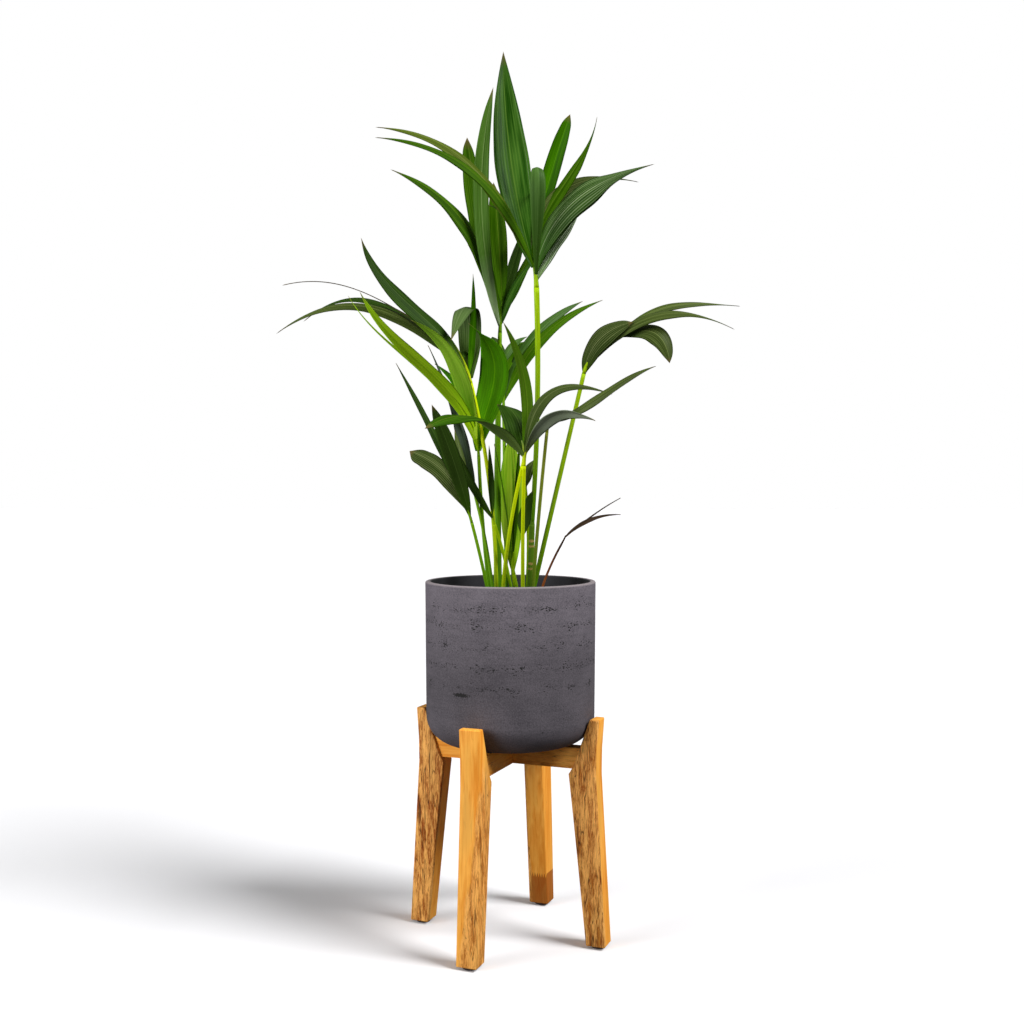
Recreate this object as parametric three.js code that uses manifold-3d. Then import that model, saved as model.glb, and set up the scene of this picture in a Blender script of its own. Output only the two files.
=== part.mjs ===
// Potted kentia palm: young fronds on slim stalks, in a round cement pot on a wooden stand.
// Millimetres. +X is right in the front view, +Y is away from the viewer, +Z is up, and the
// origin is on the floor under the middle of the pot.

import * as THREE from "three";
import { mergeVertices } from "three/addons/utils/BufferGeometryUtils.js";
import Module from "manifold-3d";

const wasm = await Module();
wasm.setup();

const group = new THREE.Group();
const stand = new THREE.Group();
const upright = new THREE.Vector3(0, 0, 1);

// Clearance between neighbouring pieces.
const gap = 0.3;

// Pot: outer radius at the rim and above the rounded corner, wall and floor thickness.
const potRim = 456;
const potBase = 249;
const potRimRadius = 110;
const potSideRadius = 108.5;
const potWall = 8;
const potFloor = 9;
const potCorner = 36;
const potLip = 3;
const potSides = 36;

// Soil: its top lies this far below the rim.
const soilDrop = 30;
const soilTop = potRim - soilDrop;

// Stand: four legs at right angles, turned a little so that one shows to the left of the middle.
// The pot stands a little to the right of its middle.
const standTurn = THREE.MathUtils.degToRad(22);
const standShift = -2.5;
const legWidth = 27;
const legEdge = 1;
const padRadius = 9;
const padHeight = 3;
const padReach = 122;
const railWidth = 20;
const railHeight = 26;
const railTop = potBase - gap;
const railReachTop = 100.6;
const railReachBottom = 90.4;

// Side view of a leg: distance from the pot's axis and height, up the inside and down the outside.
const legFootHeight = padHeight + gap;
const legProfile = [
  [109.5, legFootHeight],
  [134.5, legFootHeight],
  [125.5, 163],
  [122.5, 216],
  [123, 247],
  [126, 286],
  [114, 286],
  [100.5, 247],
  [91.5, 224],
  [86.5, 216],
  [92.5, 163],
];

// Compass directions of the legs, as quarter turns from the right-hand leg.
const legNames = ["right", "back", "left", "front"];

// Leaf blade: share of full width at shares of its length, and how far its two halves fold down.
const bladeStations = [
  [0, 0.28],
  [0.12, 0.66],
  [0.3, 0.97],
  [0.5, 0.96],
  [0.7, 0.72],
  [0.88, 0.36],
];
const bladeFold = Math.tan(THREE.MathUtils.degToRad(14));
const bladeThinness = 100;
const bladeMinimum = 1.6;

// Stalks and ribs are six-sided limbs with this many stations.
const limbSides = 6;
const stalkStations = 8;
const ribStations = 5;
const caneStations = 3;
const ribTip = 1.3;

// The main cane that carries the crown frond: foot, top and radii.
const cane = { foot: [25, 5, soilTop + gap], top: [28, 3, 528], radii: [3.9, 3.6] };

// Fronds. foot and hub are the two ends of the stalk, radii are the stalk's at those ends, bow
// is how far its middle stands off the straight line, and rib is the reach of the frond's own rib
// from the hub. Each leaflet is:
// [place along the rib, reach right, back and up, arch of its middle, width, turn to the front,
// how much more its outer half is arched than its inner half, how far its middle sways aside,
// and how much further it has turned at its tip], of which the last three may be left out.
const fronds = [
  {
    name: "crown",
    foot: [28, 3, cane.top[2] + 1.5 * gap],
    hub: [33.5, -10, 833],
    radii: [3.0, 3.6],
    bow: [4, 0],
    rib: [-7, 13, 44],
    colour: 0x3c7a1c,
    leaflets: [
      [0.62, -40, 53, 297, -16, 47, 50],
      [0.55, -199, -60, 152, 47, 21, 50, 4],
      [0.66, -203, -15, 174, 43, 22, 50, 11],
      [0.3, -6, 95, 72, 122, 20, 0],
      [0.96, 54, 75, 208, 6, 22, 45],
      [0.85, 85, 15, 190, 3, 20, 45, -17],
      [0.45, 147, -57, 124, 35, 42, 68, -6],
      [0.94, 142, 27, 104, 46, 26, 60],
      [0.2, 55, 5, 88, 8, 26, 50],
      [0.95, 14, 112, 60, 25, 18, 0],
      [0.9, -58, 68, 85, 15, 18, 0],
    ],
  },
  {
    name: "tall_back",
    foot: [-16, 10, soilTop + gap],
    hub: [-14, 45, 782],
    radii: [5.6, 2.8],
    bow: [-2, 0],
    rib: [3, 15, 46],
    colour: 0x2c5416,
    leaflets: [
      [0.35, -144, -30, 194, 38, 30, 50, 6],
      [0.4, -47, 60, 260, -12, 30, 10, 0, -5],
      [0.15, -9, 0, 321, -20, 21, 75, 0, 15],
      [0.95, -12, 30, 168, 3, 25, 10],
      [1.0, 31, 50, 112, 0, 18, 10],
      [0.45, 53, 45, 117, 1, 15, 30],
      [0.18, 49, 15, 96, 8, 13, 45],
      [0.8, -18, 140, 70, 32, 18, 0],
      [0.6, 16, 128, 75, 24, 16, 0],
      [0.3, -47, 90, 122, 15, 18, 0],
    ],
  },
  {
    name: "left_high",
    foot: [-18, -25, soilTop + gap],
    hub: [-51, 2, 711],
    radii: [2.6, 2.4],
    bow: [9, -1],
    rib: [-23, 5, 53],
    colour: 0x21400f,
    leaflets: [
      [0.3, -136, -15, 170, -5, 29, 50, -18],
      [0.4, -253, 35, 47, 54, 18, 50, 14],
      [0.85, -211, 65, 44, 39, 12, 50, 25],
      [0.95, -233, 45, 85, 25, 5, 0, 14],
      [0.12, -22, -52, 42, 92, 34, 0, 0, -15],
      [0.18, 5, 6, 134, -8, 10, 70, 0, 3],
      [0.6, 12, 95, 10, 15, 16, 0],
    ],
  },
  {
    name: "young",
    foot: [-25, -5, soilTop + gap],
    hub: [-41, 0, 616],
    radii: [2.6, 2.2],
    bow: [-2, 0],
    rib: [-3, -8, 24],
    colour: 0x56921a,
    leaflets: [
      [0.4, -140, -107, 187, 11, 21, -30, -25],
      [0.6, -156, -86, 180, 9, 9, -30, -22],
      [0.9, -81, -55, 147, 26, 24, -30, 11],
      [0.3, -14, -10, 165, 32, 38, -45, 29],
      [0.7, -60, 70, 110, 20, 20, 0],
    ],
  },
  {
    name: "back",
    foot: [-5, 25, soilTop + gap],
    hub: [-9, 50, 677],
    radii: [2.5, 2.3],
    bow: [0, 4],
    rib: [-2, 10, 63],
    colour: 0x2f5a1a,
    leaflets: [
      [0.22, 138, 65, 146, 24, 17, 45],
      [0.3, 112, 95, 144, 22, 20, 40],
      [1.0, 34, 50, 45, 9, 12, 30],
      [0.5, -17, 115, 83, 20, 20, 0],
      [0.35, -3, 147, 25, 34, 20, 0],
      [0.7, 40, 105, 60, 20, 18, 0],
    ],
  },
  {
    name: "right",
    foot: [26, 17, soilTop + gap],
    hub: [96, 20, 725],
    radii: [3.2, 2.8],
    bow: [0, 0],
    rib: [50, 0, 50],
    colour: 0x3d5426,
    leaflets: [
      [0.02, 63, -12, 65, 16, 33, 62],
      [0.08, 191, -30, 49, 44, 19, 50, 3],
      [0.95, 165, 30, 45, 22, 13, 50, -8],
      [1.0, 60, -20, -38, 24, 28, 60],
      [0.5, 22, 90, 28, 8, 18, 0],
      [0.6, 60, 85, 30, 14, 14, 0],
    ],
  },
  {
    name: "front_left",
    foot: [-11, -25, soilTop + gap],
    hub: [15, -55, 603],
    radii: [2.5, 2.2],
    bow: [-4, 0],
    rib: [-1, -1, 32],
    colour: 0x33521d,
    leaflets: [
      [0.4, -113, -145, 27, 30, 28, -20, 0, 0, 60],
      [0.6, -26, -15, 160, 18, 15, -50],
      [0.45, -34, 50, 66, 20, 38, 10],
    ],
  },
  {
    name: "front_right",
    foot: [16, -30, soilTop + gap],
    hub: [17, -73, 603],
    radii: [2.5, 2.2],
    bow: [-1, 0],
    rib: [6, -1, 32],
    colour: 0x46572f,
    leaflets: [
      [0.3, 110, 25, 80, 46, 16, 50, 5],
      [0.5, 81, -77, 35, 27, 20, -30],
    ],
  },
  {
    name: "side",
    foot: [27.5, -6, soilTop + gap],
    hub: [46, -40, 646],
    radii: [2.4, 2.1],
    bow: [-1, 0],
    rib: [8, 0, 16],
    colour: 0x35601c,
    leaflets: [
      [0.8, 125, -62, 64, 0, 16, 55, 8],
    ],
  },
  {
    name: "low_left",
    foot: [-25, -30, soilTop + gap],
    hub: [-48.5, -45, 532],
    radii: [2.2, 2.0],
    bow: [1, 0],
    rib: [-15, -5, 42],
    colour: 0x16290e,
    leaflets: [
      [0.2, -45, -45, 137, 4, 21, -40],
      [0.8, -83, -10, 166, 3, 12, 50],
      [0.4, -76, 35, 74, 13, 27, 45],
      [0.6, -15, 30, 93, 6, 14, 0],
    ],
  },
  {
    name: "low_inner",
    foot: [4, -10, soilTop + gap],
    hub: [-20, -35, 530],
    radii: [2.2, 2.0],
    bow: [2.5, 0],
    rib: [-3, -1, 16],
    colour: 0x1b3312,
    leaflets: [
      [0.4, -61, -25, 118, -3, 14, -30],
      [0.7, -5, 20, 90, 3, 8, 0],
    ],
  },
  {
    name: "left_slim",
    foot: [-21, -15, soilTop + gap],
    hub: [-45, -4, 564],
    radii: [2.2, 2.0],
    bow: [3, 0],
    rib: [-2, 0, 14],
    colour: 0x1f2d22,
    leaflets: [
      [0.5, -60, -8, 189, 8, 26, 40],
    ],
  },
  {
    name: "spear",
    foot: [10, 18, soilTop + gap],
    hub: [4, 20, 462],
    radii: [3.9, 3.2],
    bow: [0, 0],
    rib: [0, 0, 30],
    colour: 0x7fa048,
    leaflets: [
      [0.2, -3, 25, 178, 0, 31, 0],
      [0.5, -24, -8, 157, 3, 9, 10],
      [0.8, 9, 20, 157, 0, 8, 0],
    ],
  },
  {
    name: "small",
    foot: [16, -12, soilTop + gap],
    hub: [15.5, -22, 510],
    radii: [1.9, 1.7],
    bow: [0, 0],
    rib: [1, 0, 8],
    colour: 0x1d3a14,
    leaflets: [
      [0.6, 13, -8, 58, 5, 19, -30],
    ],
  },
  {
    name: "sprout",
    foot: [20, 22, soilTop + gap],
    hub: [20, 5, 573],
    radii: [2.0, 1.8],
    bow: [3, 0],
    rib: [1, 0, 8],
    colour: 0x4a4a2a,
    leaflets: [
      [0.6, 14, 10, 36, 6, 15, 30],
    ],
  },
  {
    name: "withered",
    foot: [35, -5, soilTop + gap],
    hub: [65, -15, 503],
    radii: [1.6, 1.4],
    bow: [-3, 0],
    rib: [6, 0, 12],
    colour: 0x4a3c2c,
    leaflets: [
      [0.7, 70, -25, 52, 3, 5, 30],
      [0.9, 74, 30, 27, 9, 8, 30],
    ],
  },
];

function addPiece(name, geometry, colour, roughness, parent = group) {
  const material = new THREE.MeshStandardMaterial({ color: colour, roughness, metalness: 0 });
  const mesh = new THREE.Mesh(geometry, material);
  mesh.name = name;
  parent.add(mesh);
  return mesh;
}

function vector(values) {
  return new THREE.Vector3(values[0], values[1], values[2]);
}

// Pot and soil.

// The pot's outside from the axis up to the rim, moved inwards by an inset.
function potOutline(inset, base, top) {
  const points = [new THREE.Vector2(0, base)];
  const centre = new THREE.Vector2(potSideRadius - potCorner, potBase + potCorner);
  const radius = potCorner - inset;
  const steps = 4;
  for (let i = 0; i <= steps; i += 1) {
    const angle = -Math.PI / 2 + (i / steps) * (Math.PI / 2);
    const height = Math.max(centre.y + radius * Math.sin(angle), base);
    points.push(new THREE.Vector2(centre.x + radius * Math.cos(angle), height));
  }
  const share = (top - centre.y) / (potRim - centre.y);
  const side = THREE.MathUtils.lerp(potSideRadius, potRimRadius, share);
  points.push(new THREE.Vector2(side - inset, top));
  return points;
}

function turned(points) {
  const geometry = new THREE.LatheGeometry(points, potSides);
  geometry.rotateX(Math.PI / 2);
  return geometry;
}

function makePot() {
  const outside = potOutline(0, potBase, potRim - potLip);
  const inside = potOutline(potWall, potBase + potFloor, potRim - potLip);
  const crest = new THREE.Vector2(potRimRadius - potLip, potRim);
  const innerCrest = new THREE.Vector2(potRimRadius - potWall + potLip, potRim);
  addPiece("pot", turned([...outside, crest, innerCrest, ...inside.reverse()]), 0x625b62, 0.85);
}

function makeSoil() {
  const points = potOutline(potWall + gap, potBase + potFloor + gap, soilTop);
  points.push(new THREE.Vector2(0, soilTop));
  addPiece("soil", turned(points), 0x2b211a, 1);
}

// Stand.

// A flat board with its outline in the upright plane through the pot's axis.
function board(outline, width, edge) {
  const shape = new THREE.Shape(outline.map(([reach, height]) => new THREE.Vector2(reach, height)));
  const geometry = new THREE.ExtrudeGeometry(shape, {
    depth: width - 2 * edge,
    bevelEnabled: edge > 0,
    bevelThickness: edge,
    bevelSize: edge,
    bevelOffset: -edge,
    bevelSegments: 1,
  });
  geometry.rotateX(Math.PI / 2);
  geometry.translate(0, width / 2 - edge, 0);
  return geometry;
}

function makeLegs() {
  legNames.forEach((name, quarter) => {
    const turn = quarter * (Math.PI / 2) - standTurn;
    const profile = board(legProfile, legWidth, legEdge);
    const leg = addPiece(`leg_${name}`, profile, 0xd9a866, 0.7, stand);
    leg.rotation.z = turn;
    const disc = new THREE.CylinderGeometry(padRadius, padRadius, padHeight, 20);
    disc.rotateX(Math.PI / 2);
    const pad = addPiece(`pad_${name}`, disc, 0x1b1a19, 0.8, stand);
    pad.position.set(padReach * Math.cos(turn), padReach * Math.sin(turn), padHeight / 2);
  });
}

// The two rails cross in a half lap: one is notched from above and the other from below.
function makeRails() {
  const top = railTop;
  const bottom = railTop - railHeight;
  const middle = (top + bottom) / 2;
  const notch = railWidth / 2 + gap;
  const upperNotch = [
    [-railReachBottom, bottom],
    [railReachBottom, bottom],
    [railReachTop, top],
    [notch, top],
    [notch, middle - gap / 2],
    [-notch, middle - gap / 2],
    [-notch, top],
    [-railReachTop, top],
  ];
  const lowerNotch = [
    [-railReachBottom, bottom],
    [-notch, bottom],
    [-notch, middle + gap / 2],
    [notch, middle + gap / 2],
    [notch, bottom],
    [railReachBottom, bottom],
    [railReachTop, top],
    [-railReachTop, top],
  ];
  const across = board(lowerNotch, railWidth, 0);
  const first = addPiece("rail_side_to_side", across, 0xc8935a, 0.75, stand);
  first.rotation.z = -standTurn;
  const along = board(upperNotch, railWidth, 0);
  const second = addPiece("rail_front_to_back", along, 0xc8935a, 0.75, stand);
  second.rotation.z = Math.PI / 2 - standTurn;
}

// Plant.

// A closed skin over rings that all run the same way round, with flat ends or a point at the tip.
function skin(rings, tip) {
  const count = rings[0].length;
  const positions = rings.flat().flatMap((p) => [p.x, p.y, p.z]);
  const faces = [];
  for (let r = 0; r + 1 < rings.length; r += 1) {
    for (let i = 0; i < count; i += 1) {
      const a = r * count + i;
      const b = r * count + ((i + 1) % count);
      faces.push(a, b, b + count, a, b + count, a + count);
    }
  }
  for (let i = 2; i < count; i += 1) {
    faces.push(1, (i + 1) % count, i);
  }
  const last = (rings.length - 1) * count;
  if (tip) {
    const point = positions.length / 3;
    positions.push(tip.x, tip.y, tip.z);
    for (let i = 0; i < count; i += 1) {
      faces.push(last + i, last + ((i + 1) % count), point);
    }
  } else {
    for (let i = 2; i < count; i += 1) {
      faces.push(last + 1, last + i, last + ((i + 1) % count));
    }
  }
  const geometry = new THREE.BufferGeometry();
  geometry.setAttribute("position", new THREE.Float32BufferAttribute(positions, 3));
  geometry.setIndex(faces);
  return geometry;
}

function circle(centre, along, radius) {
  const side = new THREE.Vector3(0, 1, 0).cross(along).normalize();
  const other = along.clone().cross(side);
  const ring = [];
  for (let i = 0; i < limbSides; i += 1) {
    const angle = (i / limbSides) * 2 * Math.PI;
    const point = centre.clone().addScaledVector(side, radius * Math.cos(angle));
    ring.push(point.addScaledVector(other, radius * Math.sin(angle)));
  }
  return ring;
}

// A tapering limb along a curve. Its first cut is square to the given direction.
function limb(curve, radii, stations, cut) {
  const rings = [];
  for (let i = 0; i < stations; i += 1) {
    const share = i / (stations - 1);
    const along = i === 0 ? cut : curve.getTangent(share);
    const radius = THREE.MathUtils.lerp(radii[0], radii[1], share);
    rings.push(circle(curve.getPoint(share), along, radius));
  }
  return skin(rings);
}

// The stalk's curve passes its bow's distance beside the straight line, half-way up.
function stalkCurve(frond) {
  const foot = vector(frond.foot);
  const hub = vector(frond.hub);
  const middle = foot.clone().lerp(hub, 0.5);
  middle.x += 2 * frond.bow[0];
  middle.y += 2 * frond.bow[1];
  return new THREE.QuadraticBezierCurve3(foot, middle, hub);
}

// The rib leaves the stalk in the stalk's own direction.
function ribCurve(frond, direction) {
  const start = vector(frond.hub).addScaledVector(direction, gap);
  const reach = vector(frond.rib);
  const control = start.clone().addScaledVector(direction, reach.length() / 2);
  return new THREE.QuadraticBezierCurve3(start, control, vector(frond.hub).add(reach));
}

// The leaflet's midline: root to tip, with its middle raised by the arch, its outer half by more,
// and both moved sideways by the sway.
function leafletCurve(root, reach, arch, hook, sway) {
  const chord = reach.clone().normalize();
  const raise = upright.clone().addScaledVector(chord, -chord.z).normalize();
  const aside = upright.clone().cross(reach).normalize().multiplyScalar((4 / 3) * sway);
  const inner = (4 / 3) * (arch - hook);
  const outer = (4 / 3) * (arch + hook);
  const first = root.clone().addScaledVector(reach, 1 / 3).addScaledVector(raise, inner).add(aside);
  const second = root.clone().addScaledVector(reach, 2 / 3).addScaledVector(raise, outer).add(aside);
  return new THREE.CubicBezierCurve3(root, first, second, root.clone().add(reach));
}

// One leaflet: a thin blade folded down along its midline, turned about it towards the front.
function leaflet(root, row) {
  const [, right, back, up, arch, width, turn, hook = 0, sway = 0, twist = 0] = row;
  const reach = new THREE.Vector3(right, back, up);
  const curve = leafletCurve(root, reach, arch, hook, sway);
  const level = upright.clone().cross(reach).normalize();
  const thickness = Math.max(reach.length() / bladeThinness, bladeMinimum);
  const rings = bladeStations.map(([share, breadth]) => {
    const along = curve.getTangent(share);
    const above = along.clone().cross(level);
    const angle = THREE.MathUtils.degToRad(turn + twist * share) * (right < 0 ? -1 : 1);
    const side = level.clone().multiplyScalar(Math.cos(angle));
    side.addScaledVector(above, Math.sin(angle));
    const face = along.clone().cross(side);
    const centre = curve.getPoint(share);
    const half = (width * breadth) / 2;
    const low = centre.clone().addScaledVector(face, -half * bladeFold);
    return [
      low.clone().addScaledVector(side, half),
      centre.clone().addScaledVector(face, thickness / 2),
      low.clone().addScaledVector(side, -half),
      centre.clone().addScaledVector(face, -thickness / 2),
    ];
  });
  return skin(rings, curve.getPoint(1));
}

function toSolid(geometry) {
  const bare = geometry.clone();
  bare.deleteAttribute("normal");
  bare.deleteAttribute("uv");
  const merged = mergeVertices(bare);
  const vertProperties = new Float32Array(merged.attributes.position.array);
  const triVerts = new Uint32Array(merged.index.array);
  return new wasm.Manifold(new wasm.Mesh({ numProp: 3, vertProperties, triVerts }));
}

function toGeometry(solid) {
  const mesh = solid.getMesh();
  const geometry = new THREE.BufferGeometry();
  geometry.setAttribute("position", new THREE.BufferAttribute(mesh.vertProperties, 3));
  geometry.setIndex(new THREE.BufferAttribute(mesh.triVerts, 1));
  geometry.computeVertexNormals();
  return geometry;
}

function makeCane() {
  const curve = new THREE.LineCurve3(vector(cane.foot), vector(cane.top));
  const geometry = limb(curve, cane.radii, caneStations, upright);
  addPiece("cane", geometry, 0x2b4a1c, 0.5);
}

function makeFrond(frond) {
  const stalk = stalkCurve(frond);
  const stalkGeometry = limb(stalk, frond.radii, stalkStations, upright);
  addPiece(`stalk_${frond.name}`, stalkGeometry, 0x7a9c2a, 0.5);

  const direction = stalk.getTangent(1);
  const rib = ribCurve(frond, direction);
  const ribRadii = [frond.radii[1], ribTip];
  let solid = toSolid(limb(rib, ribRadii, ribStations, direction));
  for (const row of frond.leaflets) {
    solid = solid.add(toSolid(leaflet(rib.getPoint(row[0]), row)));
  }
  addPiece(`frond_${frond.name}`, toGeometry(solid), frond.colour, 0.45);
}

stand.position.x = standShift;
group.add(stand);
makePot();
makeSoil();
makeLegs();
makeRails();
makeCane();
fronds.forEach(makeFrond);

export default group;
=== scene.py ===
"""Potted kentia palm: finer leaves and stalks, a cement pot, soil and a wooden stand.

Lengths in the tables are millimetres in the frame of the solids: +X right, +Y away from the
viewer, +Z up, with the origin on the floor under the middle of the pot.
"""

import math
import random
from dataclasses import dataclass

import bpy
import numpy as np
from bpy.props import FloatProperty, FloatVectorProperty, IntProperty, PointerProperty
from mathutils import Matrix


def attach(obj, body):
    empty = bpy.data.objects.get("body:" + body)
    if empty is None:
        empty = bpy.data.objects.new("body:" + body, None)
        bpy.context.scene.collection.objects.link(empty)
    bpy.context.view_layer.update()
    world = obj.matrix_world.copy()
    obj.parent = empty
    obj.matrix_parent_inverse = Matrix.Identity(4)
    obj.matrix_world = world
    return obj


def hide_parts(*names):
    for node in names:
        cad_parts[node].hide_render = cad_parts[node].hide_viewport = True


bl_info = {
    "name": "Potted Kentia Palm",
    "version": (1, 0, 0),
    "blender": (4, 5, 0),
    "location": "3D View > Sidebar > Palm",
    "description": "Builds a young kentia palm in a cement pot on a wooden stand",
    "category": "Add Mesh",
}

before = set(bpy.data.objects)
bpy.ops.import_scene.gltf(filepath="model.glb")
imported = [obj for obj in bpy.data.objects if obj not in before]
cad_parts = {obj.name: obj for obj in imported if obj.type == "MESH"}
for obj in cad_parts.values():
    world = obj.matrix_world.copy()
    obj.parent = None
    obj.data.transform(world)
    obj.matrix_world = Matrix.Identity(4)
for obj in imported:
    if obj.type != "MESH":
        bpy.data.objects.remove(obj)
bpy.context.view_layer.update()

MM = 0.001
UP = np.array([0.0, 0.0, 1.0])
BLACK = (0, 0, 0, 1)
WHITE = (1, 1, 1, 1)

# Clearance between neighbouring pieces, as in the solids.
GAP = 0.3

# Pot: heights of its rim and underside, outer radius at the rim and above the rounded corner,
# wall, floor, the radii of the corner and the lip, and the sides that the round is made of.
POT_RIM = 456
POT_BASE = 249
POT_RIM_RADIUS = 110
POT_SIDE_RADIUS = 108.5
POT_WALL = 8
POT_FLOOR = 9
POT_CORNER = 36
POT_LIP = 2.2
POT_SIDES = 128

# Heights of the bands of pits that the layers of cement left, and the largest pit of all: its
# sideways place and height, and its width and thickness.
PIT_BANDS = [332, 357, 381, 408, 429]
PIT_BAND_HEIGHT = 11
LARGEST_PIT = (-60, 323)
LARGEST_PIT_SIZE = (10, 2.6)

# Soil: its surface is mounded and crumbled by about this much, and cut into rings this wide.
SOIL_TOP = 425
SOIL_RADIUS = 101.5
SOIL_MOUND = 6
SOIL_CRUMBLE = 5
SOIL_RING = 4
SOIL_SIDES = 160

# Stand: how far it is turned, its sideways place, the width of a leg, and its worn edges.
STAND_TURN = math.radians(22)
STAND_SHIFT = -2.5
LEG_WIDTH = 27
LEG_EDGE = 1.6

# Leg from the foot up: height, distance of its inner face and of its outer face from the middle.
LEG_LEVELS = [
    (3.3, 109.5, 134.5),
    (163, 92.5, 125.5),
    (216, 86.5, 122.5),
    (224, 91.5, 122.6),
    (247, 100.5, 123),
    (286, 114, 126),
]
LEG_NAMES = ["right", "back", "left", "front"]

# The side of each piece that is still rough: the axis and sign that it faces, its distance from
# the middle, how much further out it starts for each millimetre of height, and how rough it is.
ROUGH_SIDES = {
    "right": (1, -1, 10, 0, 1),
    "back": (1, 1, 10, 0, 1),
    "left": (1, 1, 8, 0, 1),
    "front": (1, 1, -9, 0.1, 0.8),
    "rail_side_to_side": (0, 1, 14, 0, 0.5),
    "rail_front_to_back": (1, -1, 12, 0, 0.8),
}

# The back leg has a block glued on below this height.
JOINT_HEIGHT = 47

# Outlines of a leaf blade: share of its full width at shares of its length.
LANCE = ((0, 0.16), (0.12, 0.62), (0.3, 0.97), (0.5, 0.96), (0.7, 0.72), (0.88, 0.36), (1, 0))
FULL = ((0, 0.16), (0.12, 0.52), (0.3, 0.85), (0.5, 1), (0.65, 0.97), (0.8, 0.75), (0.92, 0.4), (1, 0))
BROAD = ((0, 0.2), (0.15, 0.6), (0.35, 0.92), (0.55, 1), (0.72, 0.9), (0.84, 0.5), (0.9, 0.12), (1, 0))
ROUND = ((0, 0.2), (0.15, 0.65), (0.35, 0.95), (0.6, 1), (0.8, 0.95), (0.93, 0.7), (1, 0))
SPIRE = ((0, 0.16), (0.12, 0.52), (0.3, 0.85), (0.5, 1), (0.65, 0.88), (0.8, 0.6), (0.92, 0.27), (1, 0))
BLUNT = ((0, 0.16), (0.12, 0.52), (0.3, 0.85), (0.5, 1), (0.7, 0.97), (0.85, 0.78), (0.95, 0.45), (1, 0))
TAILED = ((0, 0.16), (0.15, 0.6), (0.35, 0.92), (0.5, 1), (0.62, 0.85), (0.75, 0.42), (0.87, 0.15), (1, 0))
CURLED = ((0, 0.16), (0.12, 0.6), (0.25, 0.95), (0.35, 1), (0.45, 0.85), (0.55, 0.55), (0.75, 0.4), (1, 0))
EARLY = ((0, 0.3), (0.1, 0.78), (0.25, 1), (0.5, 1), (0.7, 0.8), (0.85, 0.5), (1, 0))
LOW = ((0, 0.25), (0.12, 0.75), (0.28, 1), (0.45, 0.8), (0.6, 0.5), (0.8, 0.25), (1, 0))
THREAD = ((0, 0.5), (0.2, 0.9), (0.4, 1), (0.55, 0.7), (0.7, 0.4), (0.85, 0.25), (1, 0))

# How steeply the two halves of a blade fold down, how softly they meet, the points across it,
# and the length of blade that adds one wave to its edges.
BLADE_FOLD = math.tan(math.radians(14))
FOLD_SOFTNESS = 0.02
BLADE_COLUMNS = 11
WAVE_LENGTH = 130

# Limbs: sides and rings. A rib starts with this share of the radius of its stalk's top and this
# far back, which is inside the stalk, and ends in this radius.
LIMB_SIDES = 14
CANE_RINGS = 50
SHOULDER_RINGS = 6
STALK_RINGS = 40
RIB_RINGS = 14
RIB_START = 0.97
RIB_BACK = 0.5
RIB_TIP = 0.9

# Cane: its ends, its radii there, the heights of its scars, and how far its shoulder's knots rise
# from its top.
CANE_FOOT = (25, 5, 426.3)
CANE_TOP = (28, 3, 528)
CANE_RADII = (3.9, 3.6)
CANE_SCARS = [471, 478, 500, 507]
SHOULDER_RISES = (-1, 3, 7)

# The photograph's camera: it looks level, and its frame is shifted down a little.
CAMERA_PLACE = (2, -1557, 577)
CAMERA_LENS = 42.3
CAMERA_SHIFT = -25 / 1024

# Degrees that each light is tipped from overhead and turned from the front to the right, and
# how many degrees wide it is.
KEY_TURN = (44, 64)
KEY_SOFTNESS = 24
FRONT_TURN = (78, -62)
FRONT_SOFTNESS = 36


@dataclass
class Leaflet:
    """One leaflet: where it starts on the rib, its reach, and how it bends and faces."""

    place: float
    reach: tuple
    arch: float
    width: float
    turn: float
    look: str
    hook: float = 0
    sway: float = 0
    twist: float = 0
    outline: tuple = LANCE


@dataclass
class Frond:
    """One frond: the two ends of its stalk, the stalk's bow, the rib and its leaflets."""

    name: str
    foot: tuple
    hub: tuple
    radii: tuple
    bow: tuple
    rib: tuple
    stalk: str
    leaflets: tuple


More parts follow.
